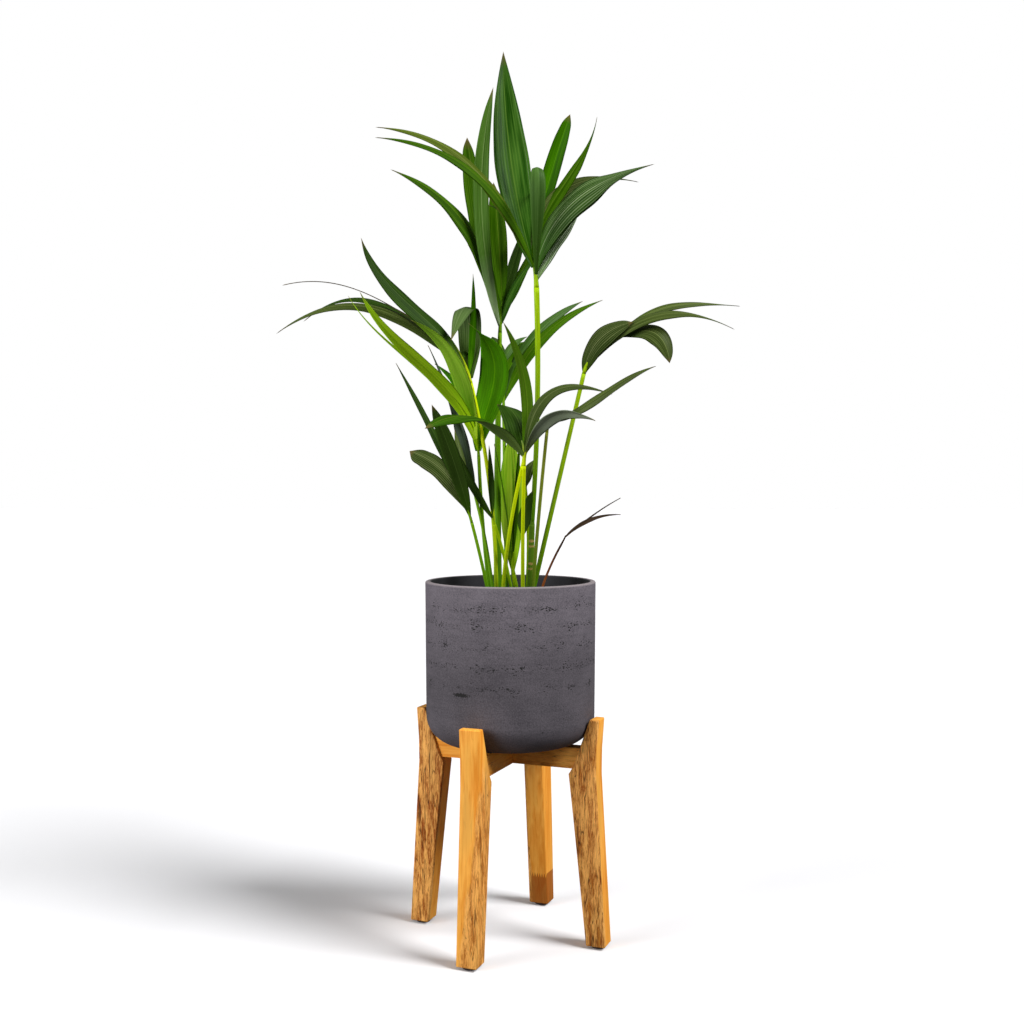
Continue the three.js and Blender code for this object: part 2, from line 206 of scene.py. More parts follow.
FRONDS = [
    Frond(
        "crown", (28, 3, 528.45), (33.5, -10, 833), (3.0, 3.6), (4, 0), (-7, 13, 44), "lime",
        (
            Leaflet(0.62, (-40, 53, 297), -16, 47, 50, "glossy", outline=SPIRE),
            Leaflet(0.55, (-199, -60, 152), 47, 21, 50, "mid", hook=4),
            Leaflet(0.66, (-203, -15, 174), 43, 22, 50, "olive", hook=11),
            Leaflet(0.3, (-6, 95, 72), 122, 20, 0, "grey", outline=CURLED),
            Leaflet(0.96, (54, 75, 208), 6, 22, 45, "bright", outline=BLUNT),
            Leaflet(0.85, (85, 15, 190), 3, 20, 45, "mid", hook=-17, outline=TAILED),
            Leaflet(0.45, (147, -57, 124), 35, 42, 68, "striped", hook=-6, outline=TAILED),
            Leaflet(0.94, (142, 27, 104), 46, 26, 60, "dull", outline=TAILED),
            Leaflet(0.2, (55, 5, 88), 8, 26, 50, "sheen", outline=FULL),
            Leaflet(0.95, (14, 112, 60), 25, 18, 0, "deep"),
            Leaflet(0.9, (-58, 68, 85), 15, 18, 0, "deep"),
        ),
    ),
    Frond(
        "tall_back", (-16, 10, 426.3), (-14, 45, 782), (5.6, 2.8), (-2, 0), (3, 15, 46), "green",
        (
            Leaflet(0.35, (-144, -30, 194), 38, 30, 50, "mid", hook=6),
            Leaflet(0.4, (-47, 60, 260), -12, 30, 10, "mid", sway=-5, outline=BLUNT),
            Leaflet(0.15, (-9, 0, 321), -20, 21, 75, "pale", sway=15, outline=FULL),
            Leaflet(0.95, (-12, 30, 168), 3, 25, 10, "mid", outline=FULL),
            Leaflet(1.0, (31, 50, 112), 0, 18, 10, "deep"),
            Leaflet(0.45, (53, 45, 117), 1, 15, 30, "mid"),
            Leaflet(0.18, (49, 15, 96), 8, 13, 45, "glossy"),
            Leaflet(0.8, (-18, 140, 70), 32, 18, 0, "deep"),
            Leaflet(0.6, (16, 128, 75), 24, 16, 0, "deep"),
            Leaflet(0.3, (-47, 90, 122), 15, 18, 0, "mid"),
        ),
    ),
    Frond(
        "left_high", (-18, -25, 426.3), (-51, 2, 711), (2.6, 2.4), (9, -1), (-23, 5, 53), "yellow",
        (
            Leaflet(0.3, (-136, -15, 170), -5, 29, 50, "deep", hook=-18),
            Leaflet(0.4, (-253, 35, 47), 54, 18, 50, "dull", hook=14),
            Leaflet(0.85, (-211, 65, 44), 39, 12, 50, "deep", hook=25),
            Leaflet(0.95, (-233, 45, 85), 25, 5, 0, "dry_thread", hook=14),
            Leaflet(0.12, (-22, -52, 42), 92, 34, 0, "flap", sway=-15, outline=EARLY),
            Leaflet(0.18, (5, 6, 134), -8, 10, 70, "bright", sway=3),
            Leaflet(0.6, (12, 95, 10), 15, 16, 0, "deep"),
        ),
    ),
    Frond(
        "young", (-25, -5, 426.3), (-41, 0, 616), (2.6, 2.2), (-2, 0), (-3, -8, 24), "green",
        (
            Leaflet(0.4, (-140, -107, 187), 11, 21, -30, "lit", hook=-25),
            Leaflet(0.6, (-156, -86, 180), 9, 9, -30, "lit", hook=-22, outline=THREAD),
            Leaflet(0.9, (-81, -55, 147), 26, 24, -30, "fresh", hook=11),
            Leaflet(0.3, (-14, -10, 165), 32, 38, -45, "young", hook=29, outline=BROAD),
            Leaflet(0.7, (-60, 70, 110), 20, 20, 0, "young"),
        ),
    ),
    Frond(
        "back", (-5, 25, 426.3), (-9, 50, 677), (2.5, 2.3), (0, 4), (-2, 10, 63), "green",
        (
            Leaflet(0.22, (138, 65, 146), 24, 17, 45, "mid"),
            Leaflet(0.3, (112, 95, 144), 22, 20, 40, "grey"),
            Leaflet(1.0, (34, 50, 45), 9, 12, 30, "grey"),
            Leaflet(0.5, (-17, 115, 83), 20, 20, 0, "deep"),
            Leaflet(0.35, (-3, 147, 25), 34, 20, 0, "deep"),
            Leaflet(0.7, (40, 105, 60), 20, 18, 0, "mid"),
        ),
    ),
    Frond(
        "right", (26, 17, 426.3), (96, 20, 725), (3.2, 2.8), (0, 0), (50, 0, 50), "lime",
        (
            Leaflet(0.02, (63, -12, 65), 16, 33, 62, "veined", outline=FULL),
            Leaflet(0.08, (191, -30, 49), 44, 19, 50, "dull", hook=3, outline=TAILED),
            Leaflet(0.95, (165, 30, 45), 22, 13, 50, "dull", hook=-8, outline=TAILED),
            Leaflet(1.0, (60, -20, -38), 24, 28, 60, "dull", outline=FULL),
            Leaflet(0.5, (22, 90, 28), 8, 18, 0, "deep"),
            Leaflet(0.6, (60, 85, 30), 14, 14, 0, "deep"),
        ),
    ),
    Frond(
        "front_left", (-11, -25, 426.3), (15, -55, 603), (2.5, 2.2), (-4, 0), (-1, -1, 32), "yellow",
        (
            Leaflet(0.4, (-113, -145, 27), 30, 28, -20, "front", twist=60, outline=FULL),
            Leaflet(0.6, (-26, -15, 160), 18, 15, -50, "mid"),
            Leaflet(0.45, (-34, 50, 66), 20, 38, 10, "deep"),
        ),
    ),
    Frond(
        "front_right", (16, -30, 426.3), (17, -73, 603), (2.5, 2.2), (-1, 0), (6, -1, 32), "yellow",
        (
            Leaflet(0.3, (110, 25, 80), 46, 16, 50, "veined", hook=5),
            Leaflet(0.5, (81, -77, 35), 27, 20, -30, "silvery", outline=FULL),
        ),
    ),
    Frond(
        "side", (27.5, -6, 426.3), (46, -40, 646), (2.4, 2.1), (-1, 0), (8, 0, 16), "olive",
        (Leaflet(0.8, (125, -62, 64), 0, 16, 55, "dull", hook=8),),
    ),
    Frond(
        "low_left", (-25, -30, 426.3), (-48.5, -45, 532), (2.2, 2.0), (1, 0), (-15, -5, 42), "green",
        (
            Leaflet(0.2, (-45, -45, 137), 4, 21, -40, "deep", outline=FULL),
            Leaflet(0.8, (-83, -10, 166), 3, 12, 50, "deep"),
            Leaflet(0.4, (-76, 35, 74), 13, 27, 45, "veined", outline=ROUND),
            Leaflet(0.6, (-15, 30, 93), 6, 14, 0, "dull"),
        ),
    ),
    Frond(
        "low_inner", (4, -10, 426.3), (-20, -35, 530), (2.2, 2.0), (2.5, 0), (-3, -1, 16), "lime",
        (
            Leaflet(0.4, (-61, -25, 118), -3, 14, -30, "deep"),
            Leaflet(0.7, (-5, 20, 90), 3, 8, 0, "deep"),
        ),
    ),
    Frond(
        "left_slim", (-21, -15, 426.3), (-45, -4, 564), (2.2, 2.0), (3, 0), (-2, 0, 14), "green",
        (Leaflet(0.5, (-60, -8, 189), 8, 26, 40, "slate", outline=LOW),),
    ),
    Frond(
        "spear", (10, 18, 426.3), (4, 20, 462), (3.9, 3.2), (0, 0), (0, 0, 30), "lime",
        (
            Leaflet(0.2, (-3, 25, 178), 0, 31, 0, "spear", outline=FULL),
            Leaflet(0.5, (-24, -8, 157), 3, 9, 10, "mid"),
            Leaflet(0.8, (9, 20, 157), 0, 8, 0, "mid"),
        ),
    ),
    Frond(
        "small", (16, -12, 426.3), (15.5, -22, 510), (1.9, 1.7), (0, 0), (1, 0, 8), "lime",
        (Leaflet(0.6, (13, -8, 58), 5, 19, -30, "deep"),),
    ),
    Frond(
        "sprout", (20, 22, 426.3), (20, 5, 573), (2.0, 1.8), (3, 0), (1, 0, 8), "lime",
        (Leaflet(0.6, (14, 10, 36), 6, 15, 30, "dull"),),
    ),
    Frond(
        "withered", (35, -5, 426.3), (65, -15, 503), (1.6, 1.4), (-3, 0), (6, 0, 12), "amber",
        (
            Leaflet(0.7, (70, -25, 52), 3, 5, 30, "dry"),
            Leaflet(0.9, (74, 30, 27), 9, 8, 30, "dry"),
        ),
    ),
]

# Leaf colours: upper side, its paler streaks, midrib, blade's base and underside; then
# roughness, specular level, and how plainly the fine veins show.
LEAF_LOOKS = {
    # The pale streaks of the next look are partly painted highlight, standing in for its gloss.
    "glossy": ("#1a4604", "#4c7a28", "#688c34", "#2a5806", "#36541a", 0.3, 0.06, 0.5),
    "bright": ("#265200", "#387000", "#58880c", "#488004", "#3c640c", 0.45, 0.01, 0.3),
    "mid": ("#2a5000", "#427008", "#74882c", "#447008", "#405c10", 0.45, 0.01, 0.4),
    "deep": ("#1e360a", "#325014", "#566e32", "#305008", "#2e4214", 0.45, 0.03, 0.4),
    "front": ("#1e4200", "#305c06", "#74882c", "#6c8640", "#74904c", 0.45, 0.02, 0.4),
    # The next look's nearly black underside is painted shade, and its greyish upper side is painted
    # lighter, as lit.
    "flap": ("#4c6630", "#5e7a40", "#8a9a68", "#44601c", "#182e06", 0.5, 0.06, 0.5),
    "grey": ("#34561a", "#4c7030", "#688a48", "#345810", "#446428", 0.5, 0.08, 0.4),
    "dull": ("#344410", "#4e6028", "#7e8a4e", "#34500a", "#46581e", 0.5, 0.1, 0.7),
    "olive": ("#42540e", "#5e7222", "#929c54", "#3c5a0a", "#506428", 0.5, 0.02, 0.5),
    # The pale grey-green of the next look is a painted sheen over a green leaf.
    "silvery": ("#6c7a56", "#8e9a7c", "#b8c4a8", "#5c7020", "#94a286", 0.45, 0.06, 1.2),
    "veined": ("#26380c", "#3a4a1c", "#848c5c", "#384f10", "#3c4c1c", 0.5, 0.02, 0.9),
    "striped": ("#24420a", "#385818", "#94a47c", "#34600c", "#2e4c12", 0.45, 0.04, 0.8),
    # The pale colours and near-white stripes of the next look are a painted sheen, where the blade catches
    # the light.
    "sheen": ("#52703a", "#7c9866", "#dce4d0", "#54782c", "#668650", 0.45, 0.12, 1.6),
    "young": ("#347404", "#4a8e06", "#70ac10", "#66a406", "#447a08", 0.45, 0.04, 0.3),
    # The bright greens of the next two looks are partly the young leaves' own colour and partly painted
    # light shining through them.
    "lit": ("#90cc08", "#b0dc20", "#b4dc34", "#a8d40c", "#90c414", 0.45, 0.04, 0.3),
    "fresh": ("#8cbc20", "#acd244", "#b8d458", "#a8d020", "#8cb830", 0.45, 0.05, 0.6),
    "pale": ("#34580e", "#46701e", "#90a868", "#94ac7c", "#34580e", 0.5, 0.05, 0.5),
    "spear": ("#629a08", "#a4c42c", "#a4c03c", "#94c00c", "#7aa41c", 0.45, 0.05, 0.9),
    "slate": ("#303c2e", "#4a5a4a", "#5c6a58", "#304a20", "#3e4c3c", 0.4, 0.16, 0.4),
    "dry": ("#2a1f16", "#4a3826", "#5a4630", "#3a2a1a", "#3a2b1c", 0.7, 0.1, 0.5),
    "dry_thread": ("#3a3018", "#54482c", "#5e5438", "#33401c", "#443a22", 0.6, 0.1, 0.5),
}

# Stalk colours at the foot and at the top.
STALK_LOOKS = {
    "lime": ("#487808", "#a4c80c"),
    "yellow": ("#84a010", "#d0e400"),
    "green": ("#487a0c", "#78aa10"),
    "olive": ("#5c7a1c", "#8c9430"),
    "amber": ("#b0602a", "#3c2a1e"),
}


def linear(shade):
    """Turns an sRGB hex colour to linear red, green, blue and alpha."""
    channels = [int(shade[i:i + 2], 16) / 255 for i in (1, 3, 5)]
    return [c / 12.92 if c <= 0.04045 else ((c + 0.055) / 1.055) ** 2.4 for c in channels] + [1.0]


def colour(label, purpose, shade):
    """A colour that the user can change."""
    return FloatVectorProperty(
        name=label, description=purpose, subtype="COLOR", size=4, min=0, max=1, default=linear(shade)
    )


class PalmPlantSettings(bpy.types.PropertyGroup):
    """Sizes and colours of the leaves, stalks and cane."""

    blade_thickness: FloatProperty(
        name="Blade thickness", description="Thickness of a leaflet at its midrib",
        default=0.0011, unit="LENGTH",
    )
    blade_rings: IntProperty(
        name="Blade rings", description="Cross-sections along each leaflet", default=44, min=12
    )
    waviness: FloatProperty(
        name="Waviness", description="How far a leaflet's edges wave, as a share of its width",
        default=0.05, min=0, max=0.3, subtype="FACTOR",
    )
    seed: IntProperty(name="Seed", description="Start of the random waves and tints", default=7)
    tip_brown: colour("Leaf tips", "Dry brown at the very tips of the leaflets", "#6b5a34")
    cane_green: colour("Cane", "Green of the main cane", "#4c6e14")
    cane_scar: colour("Cane scars", "Tan rings where old fronds came off", "#a98a52")


class PalmPotSettings(bpy.types.PropertyGroup):
    """Colours of the pot and its soil."""

    cement: colour("Cement", "Body colour of the pot", "#716a72")
    cement_dark: colour("Dark cement", "Darker clouds and grains in the cement", "#4a454c")
    # The paler lip is a painted highlight.
    lip_highlight: colour("Rubbed lip", "Paler cement on the lip", "#a89c9c")
    pit: colour("Pits", "Inside of the small open pits", "#100e0f")
    # The dark inner wall is painted shade.
    painted_inner_shade: colour("Damp inside", "Inner wall, stained by damp soil", "#222126")
    pit_spacing: FloatProperty(
        name="Pit spacing", description="Distance between neighbouring pits",
        default=0.0034, unit="LENGTH",
    )
    soil: colour("Soil", "Damp potting soil", "#2a1f18")
    soil_crumb: colour("Soil crumbs", "Drier bits of bark on the soil", "#5a4632")


class PalmStandSettings(bpy.types.PropertyGroup):
    """Colours and wear of the wooden stand."""

    honey: colour("Honey wood", "Light smooth wood", "#ffb850")
    amber: colour("Amber wood", "Darker grain of the smooth wood", "#e8902c")
    weathered: colour("Weathered wood", "Pale fibres of the old rough faces", "#ffbc64")
    fibre: colour("Dark fibres", "Dark fibres of the old rough faces", "#984c14")
    crack: colour("Cracks", "Long cracks in the old wood", "#3c1e0c")
    block: colour("Glued block", "Redder block at the foot of the back leg", "#8c3408")
    grain_width: FloatProperty(
        name="Grain width", description="Distance between bands of grain",
        default=0.0032, unit="LENGTH",
    )
    rubber: colour("Foot pads", "Dark rubber under the legs", "#2a1a14")


class PalmStageSettings(bpy.types.PropertyGroup):
    """Floor and lights."""

    floor: colour("Floor", "Pale floor", "#ececee")
    key_strength: FloatProperty(
        name="Key light", description="Strength of the light from the right", default=3.8
    )
    front_strength: FloatProperty(
        name="Front light", description="Strength of the low light from the front left", default=3.1
    )
    sky_strength: FloatProperty(
        name="Ceiling light", description="Strength of the all-round light from above", default=0.25
    )


# Nodes and materials. A Mix node of colours takes its share at input 0 and its two colours at 6
# and 7, and gives the blend at output 2.


def add_node(tree, kind, inputs=None, output=0, stops=None, **settings):
    """Adds a node with its settings, its values or links and its colour stops.

    kind is its type without the ShaderNode in front. The function gives back one output of the
    node, or all of them where output is None.
    """
    node = tree.nodes.new("ShaderNode" + kind)
    for name, value in settings.items():
        setattr(node, name, value)
    for socket, value in (inputs or {}).items():
        if isinstance(value, bpy.types.NodeSocket):
            tree.links.new(value, node.inputs[socket])
        else:
            node.inputs[socket].default_value = value
    if stops:
        elements = node.color_ramp.elements
        while len(elements) < len(stops):
            elements.new(1.0)
        for element, (place, shade) in zip(elements, stops):
            element.position = place
            element.color = shade
    return node.outputs if output is None else node.outputs[output]


def new_material(name, roughness, **settings):
    """An empty material with its shader, whose own sockets take the settings."""
    material = bpy.data.materials.new(name)
    material.use_nodes = True
    tree = material.node_tree
    shader = tree.nodes["Principled BSDF"]
    shader.inputs["Roughness"].default_value = roughness
    for socket, value in settings.items():
        shader.inputs[socket.replace("_", " ")].default_value = value
    return material, tree, shader


def cover(tree, body, shade, value, start, end, first=0.0, last=1.0):
    """Lays a shade over a body colour, by a share that follows a value.

    The share goes from first to last while the value goes from start to end.
    """
    share = add_node(
        tree, "MapRange",
        {"Value": value, "From Min": start, "From Max": end, "To Min": first, "To Max": last},
    )
    return add_node(tree, "Mix", {0: share, 6: body, 7: shade}, output=2, data_type="RGBA")


def peaks(middles, half):
    """Colour stops for a row of peaks: white at each middle, and black from half a peak away."""
    stops = [(0, BLACK)]
    for middle in middles:
        stops += [(middle - half, BLACK), (middle, WHITE), (middle + half, BLACK)]
    return stops


def finish_surface(tree, shader, body, relief=None, strength=0.0, depth=0.0):
    """Gives the shader its colour, and a fine relief whose depth is in millimetres."""
    tree.links.new(body, shader.inputs["Base Color"])
    if relief is not None:
        bump = add_node(tree, "Bump", {"Strength": strength, "Distance": depth * MM, "Height": relief})
        tree.links.new(bump, shader.inputs["Normal"])


def waxy_leaf(name, upper, streak, midrib, base, tip, roughness, sheen, veins):
    """Living palm leaf under a thin wax coat: a soft sheen over fine lengthways veins."""
    material, tree, shader = new_material(name, roughness, IOR=1.45, Specular_IOR_Level=sheen)
    place = add_node(tree, "Attribute", output="Vector", attribute_name="blade")
    across, _, along = add_node(tree, "SeparateXYZ", {0: place}, output=None)
    tint = add_node(tree, "Attribute", output="Fac", attribute_name="tint")

    # Streaks run along the blade, about a tenth of its width apart and 90 mm long, and stand
    # elsewhere on each leaflet.
    stretched = add_node(tree, "VectorMath", {0: place, 1: (5.0, 0.011, 0.0)}, operation="MULTIPLY")
    shift = add_node(tree, "Math", {0: tint, 1: 40.0}, operation="MULTIPLY")
    shifted = add_node(tree, "VectorMath", {0: stretched, 1: shift}, operation="ADD")
    streaks = add_node(tree, "TexNoise", {"Vector": shifted, "Scale": 1.0, "Detail": 2.0})
    body = cover(tree, upper, streak, streaks, 0.36, 0.7, last=0.9)

    # Six broken veins on each side, drawn coarser than the real ones so that they show.
    phase = add_node(tree, "Math", {0: across, 1: 12 * math.pi}, operation="MULTIPLY")
    pleats = add_node(tree, "Math", {0: phase}, operation="COSINE")
    broken = add_node(tree, "Math", {0: streaks, 1: 2.0, 2: pleats}, operation="MULTIPLY_ADD")
    body = cover(tree, body, midrib, broken, 1.3, 2.1, last=0.6 * veins)

    # The base is paler, the midrib is a pale line, and the very tip is dry.
    distance = add_node(tree, "Math", {0: across}, operation="ABSOLUTE")
    body = cover(tree, body, base, along, 0.04, 0.3, first=0.85, last=0.0)
    body = cover(tree, body, midrib, distance, 0.01, 0.06, first=0.55, last=0.0)
    body = cover(tree, body, tip, along, 0.93, 0.99, last=0.9)

    # Every leaflet is a little lighter or darker than the next.
    brightness = add_node(tree, "MapRange", {"Value": tint, "To Min": 0.85, "To Max": 1.15})
    shaded = add_node(tree, "HueSaturation", {"Color": body, "Value": brightness})
    relief = add_node(tree, "Math", {0: pleats, 1: 0.5, 2: streaks}, operation="MULTIPLY_ADD")
    finish_surface(tree, shader, shaded, relief, strength=0.16, depth=0.5)
    return material


def green_stalk(name, low, high):
    """Living stalk: smooth, softly glossy, and yellower towards the frond."""
    material, tree, shader = new_material(name, 0.4, IOR=1.45, Specular_IOR_Level=0.06)
    place = add_node(tree, "Attribute", output="Vector", attribute_name="blade")
    share = add_node(tree, "SeparateXYZ", {0: place}, output=2)
    blend = add_node(tree, "Mix", {0: share, 6: low, 7: high}, output=2, data_type="RGBA")
    # Fine lengthways fibres, 30 mm long.
    stretched = add_node(tree, "VectorMath", {0: place, 1: (3.0, 0.033, 0.0)}, operation="MULTIPLY")
    fibres = add_node(tree, "TexNoise", {"Vector": stretched, "Scale": 1.0, "Detail": 4.0})
    brightness = add_node(
        tree, "MapRange",
        {"Value": fibres, "From Min": 0.3, "From Max": 0.7, "To Min": 0.7, "To Max": 1.25},
    )
    shaded = add_node(tree, "HueSaturation", {"Color": blend, "Value": brightness})
    finish_surface(tree, shader, shaded)
    return material


def scarred_cane(settings):
    """Young palm stem: smooth and green, with the tan rings of old leaf bases."""
    material, tree, shader = new_material(
        "scarred_green_cane", 0.45, IOR=1.45, Specular_IOR_Level=0.08
    )
    place = add_node(tree, "TexCoord", output="Object")
    height = add_node(tree, "SeparateXYZ", {0: place}, output=2)
    # The rings are about 4 mm high, and wave by 3 mm up and down.
    wave = 6
    waves = add_node(tree, "TexNoise", {"Vector": place, "Scale": 1 / (5 * MM), "Detail": 4.0})
    wavy = add_node(tree, "Math", {0: waves, 1: wave * MM, 2: height}, operation="MULTIPLY_ADD")
    foot, top = CANE_FOOT[2], CANE_TOP[2]
    share = add_node(tree, "MapRange", {"Value": wavy, "From Min": foot * MM, "From Max": top * MM})
    middles = [(scar + wave / 2 - foot) / (top - foot) for scar in CANE_SCARS]
    scars = add_node(tree, "ValToRGB", {0: share}, stops=peaks(middles, 0.02))
    body = add_node(
        tree, "Mix", {0: scars, 6: settings.cane_green, 7: settings.cane_scar}, output=2,
        data_type="RGBA",
    )
    finish_surface(tree, shader, body)
    return material


def washed_cement(settings):
    """Cast cement with its skin washed off: matt, clouded, with rows of small open pits."""
    material, tree, shader = new_material("washed_cement", 0.85, IOR=1.5)
    place = add_node(tree, "TexCoord", output="Object")
    x, y, z = add_node(tree, "SeparateXYZ", {0: place}, output=None)

    # Clouds about 50 mm across, faint layers about 4 mm high, and grit of 1.6 mm.
    clouds = add_node(tree, "TexNoise", {"Vector": place, "Scale": 1 / (50 * MM), "Detail": 5.0})
    flat = add_node(
        tree, "VectorMath",
        {0: place, 1: (1 / (30 * MM), 1 / (30 * MM), 1 / (4 * MM))}, operation="MULTIPLY",
    )
    layers = add_node(tree, "TexNoise", {"Vector": flat, "Scale": 1.0, "Detail": 4.0})
    grit = add_node(tree, "TexNoise", {"Vector": place, "Scale": 1 / (1.6 * MM), "Detail": 3.0})
    mottle = add_node(tree, "Math", {0: layers, 1: 0.5, 2: clouds}, operation="MULTIPLY_ADD")
    mottle = add_node(tree, "Math", {0: grit, 1: 1.5, 2: mottle}, operation="MULTIPLY_ADD")
    body = cover(tree, settings.cement_dark, settings.cement, mottle, 1.1, 1.9)

    # Painted light and shade: the foot and the inner wall are darker, the top and the lip lighter.
    height = add_node(
        tree, "MapRange", {"Value": z, "From Min": POT_BASE * MM, "From Max": POT_RIM * MM}
    )
    # Painted shade and light: darkest up to a third of the height, rising to a little lighter at the top.
    depth = add_node(
        tree, "MapRange",
        {"Value": height, "From Min": 0.35, "From Max": 1.0, "To Min": 0.64, "To Max": 1.1},
        interpolation_type="SMOOTHSTEP",
    )
    body = add_node(tree, "HueSaturation", {"Color": body, "Value": depth})
    # Painted highlight along the top of the lip.
    body = cover(tree, body, settings.lip_highlight, z, (POT_RIM - 2.4) * MM, (POT_RIM - 0.8) * MM, last=0.4)
    level = add_node(tree, "CombineXYZ", {0: x, 1: y})
    radius = add_node(tree, "VectorMath", {0: level}, "Value", operation="LENGTH")
    # Painted shade on the inner wall, above the rounded corner.
    wall = (POT_RIM_RADIUS - POT_WALL) * MM
    inner = add_node(
        tree, "MapRange",
        {
            "Value": radius, "From Min": wall + 0.6 * MM, "From Max": wall + 2.5 * MM,
            "To Min": 1, "To Max": 0,
        },
    )
    above = add_node(tree, "Math", {0: z, 1: (POT_BASE + POT_CORNER) * MM}, operation="GREATER_THAN")
    inner_shade_share = add_node(tree, "Math", {0: inner, 1: above}, operation="MULTIPLY")
    body = add_node(tree, "Mix", {0: inner_shade_share, 6: body, 7: settings.painted_inner_shade}, output=2, data_type="RGBA")

    # Pits are flattened cells whose middles are open, thick in the bands and rare between them.
    spacing = settings.pit_spacing
    cells = add_node(
        tree, "VectorMath",
        {0: place, 1: (1 / spacing, 1 / spacing, 2.2 / spacing)}, operation="MULTIPLY",
    )
    bent = add_node(
        tree, "TexNoise", {"Vector": place, "Scale": 1 / (2.4 * MM), "Detail": 2.0}, "Color"
    )
    wobble = add_node(
        tree, "VectorMath", {0: bent, 1: (1.6, 1.6, 1.6), 2: cells}, operation="MULTIPLY_ADD"
    )
    cell = add_node(tree, "TexVoronoi", {"Vector": wobble, "Scale": 1.0}, output=None)
    lot = add_node(tree, "SeparateXYZ", {0: cell["Color"]})
    span = POT_RIM - POT_BASE
    middles = [(band - POT_BASE) / span for band in PIT_BANDS]
    bands = add_node(tree, "ValToRGB", {0: height}, stops=peaks(middles, PIT_BAND_HEIGHT / span))
    patches = add_node(tree, "TexNoise", {"Vector": place, "Scale": 1 / (24 * MM), "Detail": 3.0})
    chance = add_node(tree, "Math", {0: bands, 1: 0.3, 2: patches}, operation="MULTIPLY_ADD")
    size = add_node(
        tree, "MapRange",
        {"Value": chance, "From Min": 0.5, "From Max": 0.92, "To Min": 0.0, "To Max": 0.78},
    )
    lucky = add_node(tree, "Math", {0: size, 1: lot}, operation="MULTIPLY")
    inside = add_node(tree, "Math", {0: lucky, 1: cell["Distance"]}, operation="SUBTRACT")
    pits = add_node(tree, "MapRange", {"Value": inside, "From Min": -0.03, "From Max": 0.05})

    # The largest pit is a flat gash with ragged edges, low on the left.
    offset = add_node(
        tree, "VectorMath",
        {0: place, 1: (-LARGEST_PIT[0] * MM, 0, -LARGEST_PIT[1] * MM)}, operation="ADD",
    )
    width, thickness = LARGEST_PIT_SIZE
    scaled = add_node(
        tree, "VectorMath",
        {0: offset, 1: (1 / (width * MM), 0, 1 / (thickness * MM))}, operation="MULTIPLY",
    )
    reach = add_node(tree, "VectorMath", {0: scaled}, "Value", operation="LENGTH")
    ragged = add_node(tree, "Math", {0: grit, 1: 1.6, 2: reach}, operation="MULTIPLY_ADD")
    gash = add_node(
        tree, "MapRange", {"Value": ragged, "From Min": 1.6, "From Max": 1.9, "To Min": 1, "To Max": 0}
    )
    front = add_node(tree, "Math", {0: y, 1: 0.0}, operation="LESS_THAN")
    gash = add_node(tree, "Math", {0: gash, 1: front}, operation="MULTIPLY")
    holes = add_node(tree, "Math", {0: pits, 1: gash}, operation="MAXIMUM")
    body = add_node(tree, "Mix", {0: holes, 6: body, 7: settings.pit}, output=2, data_type="RGBA")
    relief = add_node(tree, "Math", {0: holes, 1: -2.5, 2: grit}, operation="MULTIPLY_ADD")
    finish_surface(tree, shader, body, relief, strength=0.5, depth=0.4)
    return material


def potting_soil(settings):
    """Damp peat and bark: matt, nearly black, with lighter dry crumbs of about 3 mm."""
    material, tree, shader = new_material("damp_potting_soil", 0.95, IOR=1.4)
    place = add_node(tree, "TexCoord", output="Object")
    crumbs = add_node(tree, "TexNoise", {"Vector": place, "Scale": 1 / (3 * MM), "Detail": 6.0})
    body = cover(tree, settings.soil, settings.soil_crumb, crumbs, 0.5, 0.8)
    finish_surface(tree, shader, body, crumbs, strength=0.8, depth=1.2)
    return material


